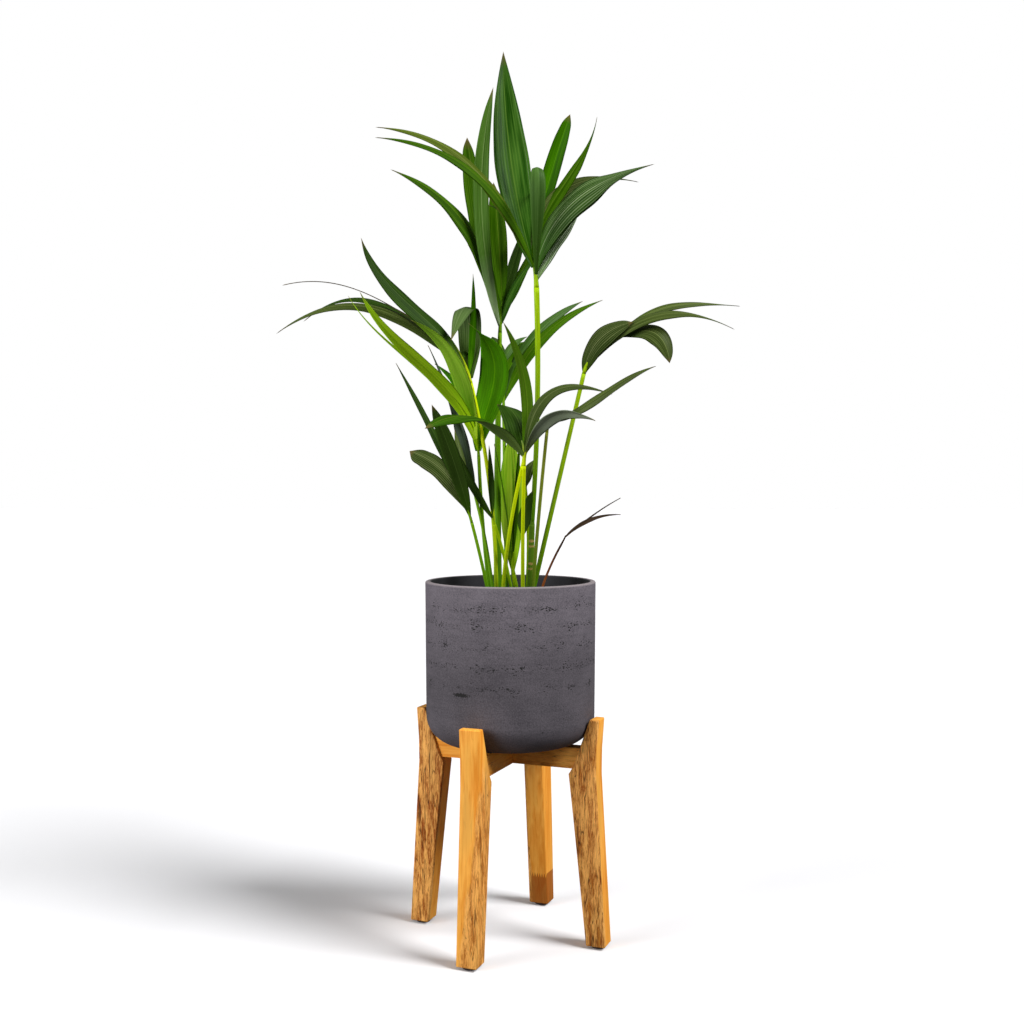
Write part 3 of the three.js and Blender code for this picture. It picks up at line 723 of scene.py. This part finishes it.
def oiled_wood(name, turn, settings, rough, joint=None, along=2):
    """Planed hardwood under oil: satin, with long grain. Its old outer side is rough and cracked.

    turn is the direction that the piece stands in. rough says which side was never planed: the
    axis and sign that it faces, its distance from the middle in millimetres, how much further out
    it starts for each millimetre of height, and how rough it is. joint is the height under which a
    darker block is glued on with small fingers, and along is the axis that the grain follows.
    """
    material, tree, shader = new_material(name, 0.55, IOR=1.5, Specular_IOR_Level=0.12)
    place = add_node(tree, "TexCoord", output="Object")
    local = add_node(
        tree, "Mapping",
        {"Vector": place, "Location": (STAND_SHIFT * MM, 0, 0), "Rotation": (0, 0, turn)},
        vector_type="TEXTURE",
    )
    parts = add_node(tree, "SeparateXYZ", {0: local}, output=None)

    def long_noise(width, length, **inputs):
        """Noise that is stretched along the grain."""
        scale = [1 / width, 1 / width, 1 / width]
        scale[along] = 1 / length
        stretched = add_node(tree, "VectorMath", {0: local, 1: scale}, operation="MULTIPLY")
        values = {"Vector": stretched, "Scale": 1.0}
        values.update({key.title(): value for key, value in inputs.items()})
        return add_node(tree, "TexNoise", values)

    width = settings.grain_width
    grain = long_noise(width, 22 * width, detail=6.0, roughness=0.6, distortion=0.4)
    broad = long_noise(20 * MM, 180 * MM, detail=2.0)
    banded = add_node(tree, "Math", {0: broad, 1: 0.9, 2: grain}, operation="MULTIPLY_ADD")
    body = cover(tree, settings.amber, settings.honey, banded, 0.74, 1.05)
    if joint:
        # Fingers 7 mm deep and 3.4 mm apart.
        teeth = add_node(tree, "Math", {0: parts[1], 1: 1.7 * MM}, operation="PINGPONG")
        edge = add_node(tree, "Math", {0: teeth, 1: 4.0, 2: parts[2]}, operation="MULTIPLY_ADD")
        block = add_node(tree, "Math", {0: edge, 1: joint * MM}, operation="LESS_THAN")
        faded = add_node(tree, "Math", {0: block, 1: 0.72}, operation="MULTIPLY")
        body = add_node(tree, "Mix", {0: faded, 6: body, 7: settings.block}, output=2, data_type="RGBA")

    # Rough side: short fibres 1.4 mm wide, light and dark, over patches 40 mm long.
    fibres = long_noise(1.4 * MM, 12 * MM, detail=3.0, roughness=0.8, distortion=0.6)
    patches = long_noise(8 * MM, 40 * MM, detail=3.0)
    uneven = add_node(tree, "Math", {0: patches, 1: 0.8, 2: fibres}, operation="MULTIPLY_ADD")
    old = cover(tree, settings.fibre, settings.weathered, uneven, 0.74, 1.02)
    axis, sign, start, slope, wear = rough
    across = add_node(tree, "Math", {0: parts[axis], 1: sign}, operation="MULTIPLY")
    # It starts further out with height, and its edge wanders with the patches.
    for value, weight in ((parts[2], -slope), (patches, 14 * MM)):
        across = add_node(tree, "Math", {0: value, 1: weight, 2: across}, operation="MULTIPLY_ADD")
    worn = add_node(
        tree, "MapRange",
        {"Value": across, "From Min": (start + 5) * MM, "From Max": (start + 9) * MM, "To Max": wear},
    )
    body = add_node(tree, "Mix", {0: worn, 6: body, 7: old}, output=2, data_type="RGBA")

    # Broad darker stains, with the grain, over both sides.
    stained = add_node(
        tree, "MapRange",
        {"Value": broad, "From Min": 0.5, "From Max": 0.68, "To Min": 1.0, "To Max": 0.8},
    )
    body = add_node(tree, "HueSaturation", {"Color": body, "Value": stained})

    # Long cracks: thin threads of a noise, mostly on the rough side.
    threads = long_noise(12 * MM, 170 * MM, detail=2.0, roughness=0.6, distortion=0.3)
    centred = add_node(tree, "Math", {0: threads, 1: 0.5}, operation="SUBTRACT")
    nearness = add_node(tree, "Math", {0: centred}, operation="ABSOLUTE")
    thread = add_node(
        tree, "MapRange",
        {"Value": nearness, "From Min": 0.001, "From Max": 0.009, "To Min": 0.85, "To Max": 0.0},
    )
    open_share = add_node(tree, "MapRange", {"Value": worn, "To Min": 0.12, "To Max": 1.0})
    cracks = add_node(tree, "Math", {0: thread, 1: open_share}, operation="MULTIPLY")
    body = add_node(tree, "Mix", {0: cracks, 6: body, 7: settings.crack}, output=2, data_type="RGBA")

    # The grain stands up a little, the rough fibres more, and the cracks are cut in.
    deep = add_node(tree, "Math", {0: fibres, 1: worn}, operation="MULTIPLY")
    relief = grain
    for value, weight in ((cracks, -1.5), (deep, 2.0)):
        relief = add_node(tree, "Math", {0: value, 1: weight, 2: relief}, operation="MULTIPLY_ADD")
    finish_surface(tree, shader, body, relief, strength=0.45, depth=0.5)
    return material


def moulded_rubber(settings):
    """Moulded rubber: dull, nearly black, scuffed lighter every 2 mm or so."""
    material, tree, shader = new_material("moulded_rubber", 0.8, IOR=1.52)
    place = add_node(tree, "TexCoord", output="Object")
    scuffs = add_node(tree, "TexNoise", {"Vector": place, "Scale": 1 / (2 * MM), "Detail": 4.0})
    value = add_node(
        tree, "MapRange",
        {"Value": scuffs, "From Min": 0.35, "From Max": 0.75, "To Min": 0.8, "To Max": 1.6},
    )
    body = add_node(tree, "HueSaturation", {"Color": settings.rubber, "Value": value})
    finish_surface(tree, shader, body, scuffs, strength=0.4, depth=0.2)
    return material


def matt_floor(settings):
    """Matt studio floor, nearly white so that only the shadows draw it."""
    material, _, shader = new_material("matt_studio_floor", 0.95, IOR=1.4)
    shader.inputs["Base Color"].default_value = settings.floor
    return material


# Modelling.


def pick(piece):
    """Makes a piece the only one selected."""
    bpy.ops.object.select_all(action="DESELECT")
    piece.select_set(True)
    bpy.context.view_layer.objects.active = piece


def settle(piece):
    """Moves a piece's place, turn and scale into its mesh."""
    pick(piece)
    bpy.ops.object.transform_apply(location=True, rotation=True, scale=True)


def apply_modifier(piece, kind, **settings):
    """Adds a modifier with its settings and applies it."""
    pick(piece)
    modifier = piece.modifiers.new(kind.title(), kind)
    for name, value in settings.items():
        setattr(modifier, name, value)
    bpy.ops.object.modifier_apply(modifier=modifier.name)


def hand_over(piece, slot, *nodes):
    """Hides the solids that the piece replaces, and rides it on the one body. Its slot is not used."""
    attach(piece, "root")
    if nodes:
        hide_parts(*nodes)


def turned(name, outline, sides):
    """Turns an outline of radius and height pairs, which starts and ends in a flat disc."""
    radius, height = outline[0]
    bpy.ops.mesh.primitive_circle_add(
        vertices=sides, radius=radius * MM, fill_type="NGON", location=(0, 0, height * MM)
    )
    piece = bpy.context.object
    piece.name = name
    bpy.ops.object.mode_set(mode="EDIT")
    for next_radius, next_height in outline[1:]:
        rise = (next_height - height) * MM
        bpy.ops.mesh.extrude_region_move(TRANSFORM_OT_translate={"value": (0, 0, rise)})
        growth = next_radius / radius
        bpy.ops.transform.resize(
            value=(growth, growth, 1), center_override=(0, 0, next_height * MM)
        )
        radius, height = next_radius, next_height
    bpy.ops.mesh.select_all(action="SELECT")
    bpy.ops.mesh.normals_make_consistent(inside=False)
    bpy.ops.object.mode_set(mode="OBJECT")
    settle(piece)
    return piece


def arc(centre, radius, start, end, steps):
    """Points on an arc, with its angles in degrees from the horizontal."""
    angles = [math.radians(start + (end - start) * i / steps) for i in range(steps + 1)]
    return [(centre[0] + radius * math.cos(a), centre[1] + radius * math.sin(a)) for a in angles]


def side_radius(height):
    """The pot's outer radius above its rounded corner, which widens a little to the rim."""
    corner = POT_BASE + POT_CORNER
    share = (height - corner) / (POT_RIM - corner)
    return POT_SIDE_RADIUS + (POT_RIM_RADIUS - POT_SIDE_RADIUS) * share


def pot_outline():
    """The pot from the middle of its underside, over the lip, to the middle of its floor."""
    corner = (POT_SIDE_RADIUS - POT_CORNER, POT_BASE + POT_CORNER)
    outside = arc(corner, POT_CORNER, -90, 0, 14)
    lip = POT_RIM - POT_LIP
    outer_lip = arc((side_radius(POT_RIM) - POT_LIP, lip), POT_LIP, 0, 90, 4)
    inner_lip = arc((side_radius(POT_RIM) - POT_WALL + POT_LIP, lip), POT_LIP, 90, 180, 4)
    floor = POT_BASE + POT_FLOOR
    inner = [(x, max(y, floor)) for x, y in arc(corner, POT_CORNER - POT_WALL, 0, -90, 8)]
    return outside + outer_lip + inner_lip + inner


def make_pot(settings):
    """Cast cement pot with a rounded foot and a soft lip."""
    pot = turned("cement_pot", pot_outline(), POT_SIDES)
    pot.data.materials.append(washed_cement(settings))
    pick(pot)
    bpy.ops.object.shade_smooth_by_angle(angle=math.radians(35))
    hand_over(pot, "cement", "pot")


def make_soil(settings):
    """Soil with a crumbled, slightly mounded top."""
    rings = int(SOIL_RADIUS / SOIL_RING)
    # Below its top it fills the pot, a little clear of the wall.
    outline = [(60, POT_BASE + POT_FLOOR + 2), (80, POT_BASE + 22), (95, POT_BASE + 50)]
    outline.append((SOIL_RADIUS - 2, SOIL_TOP - 30))
    for i in range(rings):
        radius = SOIL_RADIUS - i * SOIL_RING
        outline.append((radius, SOIL_TOP - SOIL_MOUND * (radius / SOIL_RADIUS) ** 2))
    soil = turned("potting_soil", outline, SOIL_SIDES)
    # Crumbs of about 7 mm, cut down into the mound.
    crumble = bpy.data.textures.new("crumble", "CLOUDS")
    crumble.noise_scale = 7 * MM
    crumble.noise_depth = 3
    top = soil.vertex_groups.new(name="top")
    surface = [v.index for v in soil.data.vertices if v.co.z > (SOIL_TOP - SOIL_MOUND - 1) * MM]
    top.add(surface, 1.0, "REPLACE")
    apply_modifier(
        soil, "DISPLACE", texture=crumble, texture_coords="GLOBAL", direction="Z",
        strength=SOIL_CRUMBLE * MM, mid_level=0.9, vertex_group="top",
    )
    soil.data.materials.append(potting_soil(settings))
    hand_over(soil, "soil", "soil")


def make_leg(name, quarter, settings):
    """One leg: square and splayed below the rails, cranked out round the pot above them."""
    height, inner, outer = LEG_LEVELS[0]
    middle = (inner + outer) / 2
    bpy.ops.mesh.primitive_plane_add(size=MM, location=(middle * MM, 0, height * MM))
    leg = bpy.context.object
    leg.name = f"wooden_leg_{name}"
    bpy.ops.object.mode_set(mode="EDIT")
    bpy.ops.transform.resize(
        value=(outer - inner, LEG_WIDTH, 1), center_override=(middle * MM, 0, height * MM)
    )
    depth = outer - inner
    for next_height, inner, outer in LEG_LEVELS[1:]:
        next_middle = (inner + outer) / 2
        step = ((next_middle - middle) * MM, 0, (next_height - height) * MM)
        bpy.ops.mesh.extrude_region_move(TRANSFORM_OT_translate={"value": step})
        bpy.ops.transform.resize(
            value=((outer - inner) / depth, 1, 1),
            center_override=(next_middle * MM, 0, next_height * MM),
        )
        middle, height, depth = next_middle, next_height, outer - inner
    bpy.ops.mesh.select_all(action="SELECT")
    bpy.ops.mesh.normals_make_consistent(inside=False)
    bpy.ops.object.mode_set(mode="OBJECT")
    settle(leg)
    apply_modifier(
        leg, "BEVEL", width=LEG_EDGE * MM, segments=3, limit_method="ANGLE", angle_limit=math.radians(50)
    )

    turn = quarter * math.pi / 2 - STAND_TURN
    joint = JOINT_HEIGHT if name == "back" else None
    leg.data.materials.append(oiled_wood(f"oiled_wood_{name}", turn, settings, ROUGH_SIDES[name], joint))
    leg.rotation_euler = (0, 0, turn)
    leg.location = (STAND_SHIFT * MM, 0, 0)
    settle(leg)
    bpy.ops.object.shade_smooth_by_angle(angle=math.radians(40))
    hand_over(leg, "wood", f"leg_{name}")


def dress_rails_and_pads(settings):
    """Gives the rails and foot pads, whose solids have the right shape, their finishes."""
    for quarter, name in enumerate(["rail_side_to_side", "rail_front_to_back"]):
        turn = quarter * math.pi / 2 - STAND_TURN
        material = oiled_wood(f"oiled_wood_{name}", turn, settings, ROUGH_SIDES[name], along=0)
        dress_node(name, material)
    rubber = moulded_rubber(settings)
    for name in LEG_NAMES:
        dress_node(f"pad_{name}", rubber)


def dress_node(name, material):
    """Puts one material on a solid that stays as it is."""
    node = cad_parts[name]
    for slot in node.material_slots:
        slot.link = "OBJECT"
        slot.material = material


# Plant.


def unit(vectors):
    """Vectors of length one."""
    return vectors / np.linalg.norm(vectors, axis=-1, keepdims=True)


def bezier(points, shares):
    """Points and directions on a Bezier curve at shares of its length."""
    points = np.array(points, dtype=float)

    def blend(knots):
        """Sums the knots by their weights at each share."""
        order = len(knots) - 1
        weights = [math.comb(order, i) * shares**i * (1 - shares) ** (order - i) for i in range(order + 1)]
        return np.stack(weights, axis=1) @ knots

    return blend(points), unit(blend(np.diff(points, axis=0)))


def smooth_curve(stations, shares):
    """A smooth line of cubic pieces through stations of place and value, never below zero."""
    places, values = np.array(stations, dtype=float).T
    slopes = np.gradient(values, places)
    index = np.clip(np.searchsorted(places, shares) - 1, 0, len(places) - 2)
    span = places[index + 1] - places[index]
    t = (shares - places[index]) / span
    start = (2 * t**3 - 3 * t**2 + 1) * values[index] + (t**3 - 2 * t**2 + t) * span * slopes[index]
    end = (3 * t**2 - 2 * t**3) * values[index + 1] + (t**3 - t**2) * span * slopes[index + 1]
    return np.maximum(start + end, 0)


class Bundle:
    """Closed skins that become one mesh, with a place on the blade and a tint at each point."""

    def __init__(self):
        self.points = []
        self.places = []
        self.tints = []
        self.faces = []
        self.looks = []

    def add(self, rings, places, tint, looks, tip=None):
        """Adds a skin over rings of points, closed at the end by a tip or a flat face.

        looks has a material for each face round a ring.
        """
        start = len(self.points)
        stations, count = rings.shape[:2]
        self.points += rings.reshape(-1, 3).tolist()
        self.places += places.reshape(-1, 3).tolist()
        for ring in range(stations - 1):
            for i in range(count):
                a = start + ring * count + i
                b = start + ring * count + (i + 1) % count
                self.faces.append((a, b, b + count, a + count))
                self.looks.append(looks[i])
        self.faces.append(tuple(start + i for i in reversed(range(count))))
        self.looks.append(looks[0])
        last = start + (stations - 1) * count
        if tip is None:
            self.faces.append(tuple(last + i for i in range(count)))
            self.looks.append(looks[0])
        else:
            self.points.append(tip.tolist())
            self.places.append([0, places[-1, 0, 1], 1])
            for i in range(count):
                self.faces.append((last + i, last + (i + 1) % count, len(self.points) - 1))
                self.looks.append(looks[i])
        self.tints += [tint] * (len(self.points) - start)

    def build(self, name, materials):
        """Makes the mesh object, in metres."""
        mesh = bpy.data.meshes.new(name)
        mesh.from_pydata([[value * MM for value in point] for point in self.points], [], self.faces)
        for material in materials:
            mesh.materials.append(material)
        mesh.polygons.foreach_set("material_index", self.looks)
        mesh.polygons.foreach_set("use_smooth", [True] * len(self.faces))
        blade = mesh.attributes.new("blade", "FLOAT_VECTOR", "POINT")
        blade.data.foreach_set("vector", np.array(self.places, dtype=float).ravel())
        tint = mesh.attributes.new("tint", "FLOAT", "POINT")
        tint.data.foreach_set("value", self.tints)
        mesh.update()
        piece = bpy.data.objects.new(name, mesh)
        bpy.context.scene.collection.objects.link(piece)
        return piece


def add_limb(bundle, knots, radii, rings, look, cut):
    """A round tapering limb along a Bezier curve, with its first cut square to a direction."""
    shares = np.linspace(0, 1, rings)
    centres, along = bezier(knots, shares)
    along[0] = cut
    side = unit(np.cross((0, 1, 0), along))
    other = np.cross(along, side)
    radius = np.interp(shares, (0, 1), radii)[:, None, None]
    angles = np.linspace(0, 2 * math.pi, LIMB_SIDES, endpoint=False)[None, :, None]
    points = centres[:, None] + radius * (side[:, None] * np.cos(angles) + other[:, None] * np.sin(angles))
    length = np.linalg.norm(np.diff(centres, axis=0), axis=1).sum()
    places = np.zeros_like(points)
    places[..., 0] = np.cos(angles[..., 0])
    places[..., 1] = (shares * length)[:, None]
    places[..., 2] = shares[:, None]
    bundle.add(points, places, 0.5, [look] * LIMB_SIDES)


def stalk_knots(frond):
    """The stalk's middle stands its bow's distance beside the straight line."""
    foot = np.array(frond.foot, dtype=float)
    hub = np.array(frond.hub, dtype=float)
    middle = (foot + hub) / 2 + 2 * np.array([*frond.bow, 0])
    return [foot, middle, hub]


def rib_knots(frond, direction):
    """The rib leaves the stalk in the stalk's own direction."""
    hub = np.array(frond.hub, dtype=float)
    reach = np.array(frond.rib, dtype=float)
    start = hub + direction * GAP
    return [start, start + direction * np.linalg.norm(reach) / 2, hub + reach]


def leaflet_knots(root, leaf):
    """Knots of a cubic midline, whose middle is raised by the arch and moved aside by the sway.

    The hook takes from the inner half's rise and adds to the outer half's. The two inner knots of
    a cubic stand 4/3 as far out as its middle.
    """
    reach = np.array(leaf.reach, dtype=float)
    chord = unit(reach)
    raised = unit(UP - chord * chord[2])
    aside = unit(np.cross(UP, reach)) * leaf.sway
    inner = (raised * (leaf.arch - leaf.hook) + aside) * 4 / 3
    outer = (raised * (leaf.arch + leaf.hook) + aside) * 4 / 3
    return [root, root + reach / 3 + inner, root + 2 * reach / 3 + outer, root + reach]


def add_leaflet(bundle, root, leaf, settings, look, chance):
    """A thin blade that folds down along its midline, with softly waving edges."""
    reach = np.array(leaf.reach, dtype=float)
    length = np.linalg.norm(reach)
    rings = settings.blade_rings
    # The rings stand closer together towards both ends, and the very tip is one point.
    shares = (1 - np.cos(np.linspace(0, math.pi, rings + 1))) / 2
    shares = (0.5 * shares + 0.5 * np.linspace(0, 1, rings + 1))[:-1]
    knots = leaflet_knots(root, leaf)
    centres, along = bezier(knots, shares)
    level = unit(np.cross(UP, reach))
    above = np.cross(along, level)
    turn = np.radians(leaf.turn + leaf.twist * shares) * (-1 if leaf.reach[0] < 0 else 1)
    side = level * np.cos(turn)[:, None] + above * np.sin(turn)[:, None]
    face = np.cross(along, side)
    half = leaf.width / 2 * smooth_curve(leaf.outline, shares)

    columns = np.linspace(1, -1, BLADE_COLUMNS)
    fold = BLADE_FOLD * (np.sqrt(columns**2 + FOLD_SOFTNESS) - math.sqrt(FOLD_SOFTNESS))
    phase = chance.uniform(0, 2 * math.pi)
    # One and a half waves, and one more for each wave length.
    swing = shares * 2 * math.pi * (1.5 + length / WAVE_LENGTH) + phase
    waves = np.sin(swing)[:, None] * columns[None, :] * np.abs(columns)
    drop = half[:, None] * (fold[None, :] - settings.waviness * waves)
    thick = settings.blade_thickness / MM / 2 * (1 - columns**2)
    sheet = centres[:, None] + side[:, None] * (half[:, None] * columns)[..., None]
    sheet -= face[:, None] * drop[..., None]
    top = sheet + face[:, None] * thick[None, :, None]
    bottom = sheet - face[:, None] * thick[None, :, None]
    points = np.concatenate([top, bottom[:, -2:0:-1]], axis=1)

    across = np.concatenate([columns, columns[-2:0:-1]])
    places = np.zeros_like(points)
    places[..., 0] = across
    places[..., 1] = (shares * length)[:, None]
    places[..., 2] = shares[:, None]
    looks = [look] * (BLADE_COLUMNS - 1) + [look + 1] * (BLADE_COLUMNS - 1)
    bundle.add(points, places, chance.random(), looks, knots[-1])


def leaf_materials(settings):
    """The upper and under materials of every leaf colour."""
    materials = {}
    for name, (upper, streak, midrib, base, under, roughness, sheen, veins) in LEAF_LOOKS.items():
        colours = [linear(shade) for shade in (upper, streak, midrib, base)]
        lower = [linear(shade) for shade in (under, streak, midrib, base)]
        tip = settings.tip_brown
        # The underside is rougher, with half the sheen.
        materials[name] = (
            waxy_leaf(f"waxy_leaf_{name}", *colours, tip, roughness, sheen, veins),
            waxy_leaf(f"leaf_underside_{name}", *lower, tip, 0.6, sheen / 2, veins),
        )
    return materials


def stalk_materials():
    """One material for each stalk colour."""
    return {
        name: green_stalk(f"green_stalk_{name}", linear(low), linear(high))
        for name, (low, high) in STALK_LOOKS.items()
    }


def grow_cane(settings):
    """The main cane, whose top narrows to the stalk of the crown."""
    bundle = Bundle()
    knots = [CANE_FOOT, np.add(CANE_FOOT, CANE_TOP) / 2, CANE_TOP]
    add_limb(bundle, knots, CANE_RADII, CANE_RINGS, 0, UP)
    crown = FRONDS[0]
    shoulder = [np.add(CANE_TOP, (0, 0, rise)) for rise in SHOULDER_RISES]
    # The shoulder starts a hair inside the cane, so that no two faces share a place.
    add_limb(bundle, shoulder, (CANE_RADII[1] - 0.05, crown.radii[0]), SHOULDER_RINGS, 0, UP)
    cane = bundle.build("palm_cane", [scarred_cane(settings)])
    hand_over(cane, "cane", "cane")


def grow_frond(frond, settings, leaves, stalks, chance):
    """A stalk, and the frond that grows from its top."""
    stalk = Bundle()
    add_limb(stalk, stalk_knots(frond), frond.radii, STALK_RINGS, 0, UP)
    piece = stalk.build(f"palm_stalk_{frond.name}", [stalks[frond.stalk]])
    hand_over(piece, "stalk", f"stalk_{frond.name}")

    _, ends = bezier(stalk_knots(frond), np.array([1.0]))
    direction = ends[0]
    knots = rib_knots(frond, direction)
    knots[0] = knots[0] - RIB_BACK * direction
    looks = sorted({leaf.look for leaf in frond.leaflets})
    materials = []
    for look in looks:
        materials += leaves[look]
    stalk_top = linear(STALK_LOOKS[frond.stalk][1])
    leaf_base = linear(LEAF_LOOKS[frond.leaflets[0].look][3])
    rib_look = len(materials)
    materials.append(green_stalk(f"green_rib_{frond.name}", stalk_top, leaf_base))
    bundle = Bundle()
    add_limb(bundle, knots, (RIB_START * frond.radii[1], RIB_TIP), RIB_RINGS, rib_look, direction)
    for leaf in frond.leaflets:
        root = bezier(knots, np.array([leaf.place]))[0][0]
        add_leaflet(bundle, root, leaf, settings, 2 * looks.index(leaf.look), chance)
    blades = bundle.build(f"palm_frond_{frond.name}", materials)
    slot = "withered_leaf" if frond.name == "withered" else "leaf"
    hand_over(blades, slot, f"frond_{frond.name}")


# Stage.


def add_sun(name, turn, strength, softness):
    """A distant soft light, tipped from overhead and then turned round the object."""
    bpy.ops.object.light_add(type="SUN", rotation=(math.radians(turn[0]), 0, math.radians(turn[1])))
    sun = bpy.context.object
    sun.name = name
    sun.data.energy = strength
    sun.data.angle = softness


def set_stage(settings):
    """Pale floor, soft lights from the right and the front left, and the photograph's camera."""
    bpy.ops.mesh.primitive_plane_add(size=60, location=(0, 0, 0))
    floor = bpy.context.object
    floor.name = "studio_floor"
    floor.data.materials.append(matt_floor(settings))
    # As in the photograph, hardly any light comes back up from the floor.
    floor.visible_diffuse = False
    floor.visible_glossy = False

    add_sun("key_light", KEY_TURN, settings.key_strength, math.radians(KEY_SOFTNESS))
    add_sun("front_light", FRONT_TURN, settings.front_strength, math.radians(FRONT_SOFTNESS))

    # White to the camera, and to the object a bright ceiling over darker walls.
    world = bpy.context.scene.world or bpy.data.worlds.new("studio")
    bpy.context.scene.world = world
    world.use_nodes = True
    tree = world.node_tree
    tree.nodes.clear()
    direction = add_node(tree, "TexCoord", output="Generated")
    height = add_node(tree, "SeparateXYZ", {0: direction}, output=2)
    soft = add_node(
        tree, "MapRange",
        {
            "Value": height, "From Min": -0.6, "From Max": 0.7,
            "To Min": 0.08, "To Max": settings.sky_strength,
        },
    )
    seen = add_node(tree, "LightPath", output="Is Camera Ray")
    strength = add_node(tree, "MapRange", {"Value": seen, "To Min": soft, "To Max": 1.0})
    sky = add_node(tree, "Background", {"Color": WHITE, "Strength": strength})
    add_node(tree, "OutputWorld", {"Surface": sky}, output=None)
    bpy.context.scene.view_settings.view_transform = "Standard"

    bpy.ops.object.camera_add(
        location=[value * MM for value in CAMERA_PLACE], rotation=(math.pi / 2, 0, 0)
    )
    camera = bpy.context.object
    camera.data.lens = CAMERA_LENS
    camera.data.shift_y = CAMERA_SHIFT
    camera.data.clip_end = 200
    bpy.context.scene.camera = camera


# Add-on.


class PALM_OT_make_pot(bpy.types.Operator):
    """Makes the cement pot"""

    bl_idname = "palm.make_pot"
    bl_label = "Make Pot"

    def execute(self, context):
        make_pot(context.scene.palm_pot)
        return {"FINISHED"}


class PALM_OT_make_soil(bpy.types.Operator):
    """Makes the soil in the pot"""

    bl_idname = "palm.make_soil"
    bl_label = "Make Soil"

    def execute(self, context):
        make_soil(context.scene.palm_pot)
        return {"FINISHED"}


class PALM_OT_make_stand(bpy.types.Operator):
    """Makes the legs, and finishes the rails and foot pads"""

    bl_idname = "palm.make_stand"
    bl_label = "Make Stand"

    def execute(self, context):
        settings = context.scene.palm_stand
        for quarter, name in enumerate(LEG_NAMES):
            make_leg(name, quarter, settings)
        dress_rails_and_pads(settings)
        return {"FINISHED"}


class PALM_OT_grow_plant(bpy.types.Operator):
    """Grows the cane, and every stalk with its frond"""

    bl_idname = "palm.grow_plant"
    bl_label = "Grow Plant"

    def execute(self, context):
        settings = context.scene.palm_plant
        grow_cane(settings)
        leaves = leaf_materials(settings)
        stalks = stalk_materials()
        chance = random.Random(settings.seed)
        for frond in FRONDS:
            grow_frond(frond, settings, leaves, stalks, chance)
        return {"FINISHED"}


class PALM_OT_set_stage(bpy.types.Operator):
    """Sets the floor, the lights and the camera"""

    bl_idname = "palm.set_stage"
    bl_label = "Set Stage"

    def execute(self, context):
        set_stage(context.scene.palm_stage)
        return {"FINISHED"}


class PALM_PT_parts(bpy.types.Panel):
    """Lists the pieces of the potted palm in the order they are made"""

    bl_idname = "PALM_PT_parts"
    bl_label = "Potted Palm"
    bl_space_type = "VIEW_3D"
    bl_region_type = "UI"
    bl_category = "Palm"

    def draw(self, context):
        for operator in OPERATORS:
            self.layout.operator(operator.bl_idname)


OPERATORS = (
    PALM_OT_make_pot,
    PALM_OT_make_soil,
    PALM_OT_make_stand,
    PALM_OT_grow_plant,
    PALM_OT_set_stage,
)
SETTINGS = {
    "palm_plant": PalmPlantSettings,
    "palm_pot": PalmPotSettings,
    "palm_stand": PalmStandSettings,
    "palm_stage": PalmStageSettings,
}
CLASSES = (*SETTINGS.values(), *OPERATORS, PALM_PT_parts)


def register():
    """Registers the classes and puts the settings on the scene."""
    for each in CLASSES:
        bpy.utils.register_class(each)
    for name, group in SETTINGS.items():
        setattr(bpy.types.Scene, name, PointerProperty(type=group))


def unregister():
    """Takes the settings and classes away again."""
    for name in SETTINGS:
        delattr(bpy.types.Scene, name)
    for each in reversed(CLASSES):
        bpy.utils.unregister_class(each)


def main():
    """Makes every piece and the stage."""
    register()
    bpy.ops.object.select_all(action="DESELECT")
    bpy.ops.palm.make_pot()
    bpy.ops.palm.make_soil()
    bpy.ops.palm.make_stand()
    bpy.ops.palm.grow_plant()
    bpy.ops.palm.set_stage()


if __name__ == "__main__":
    main()
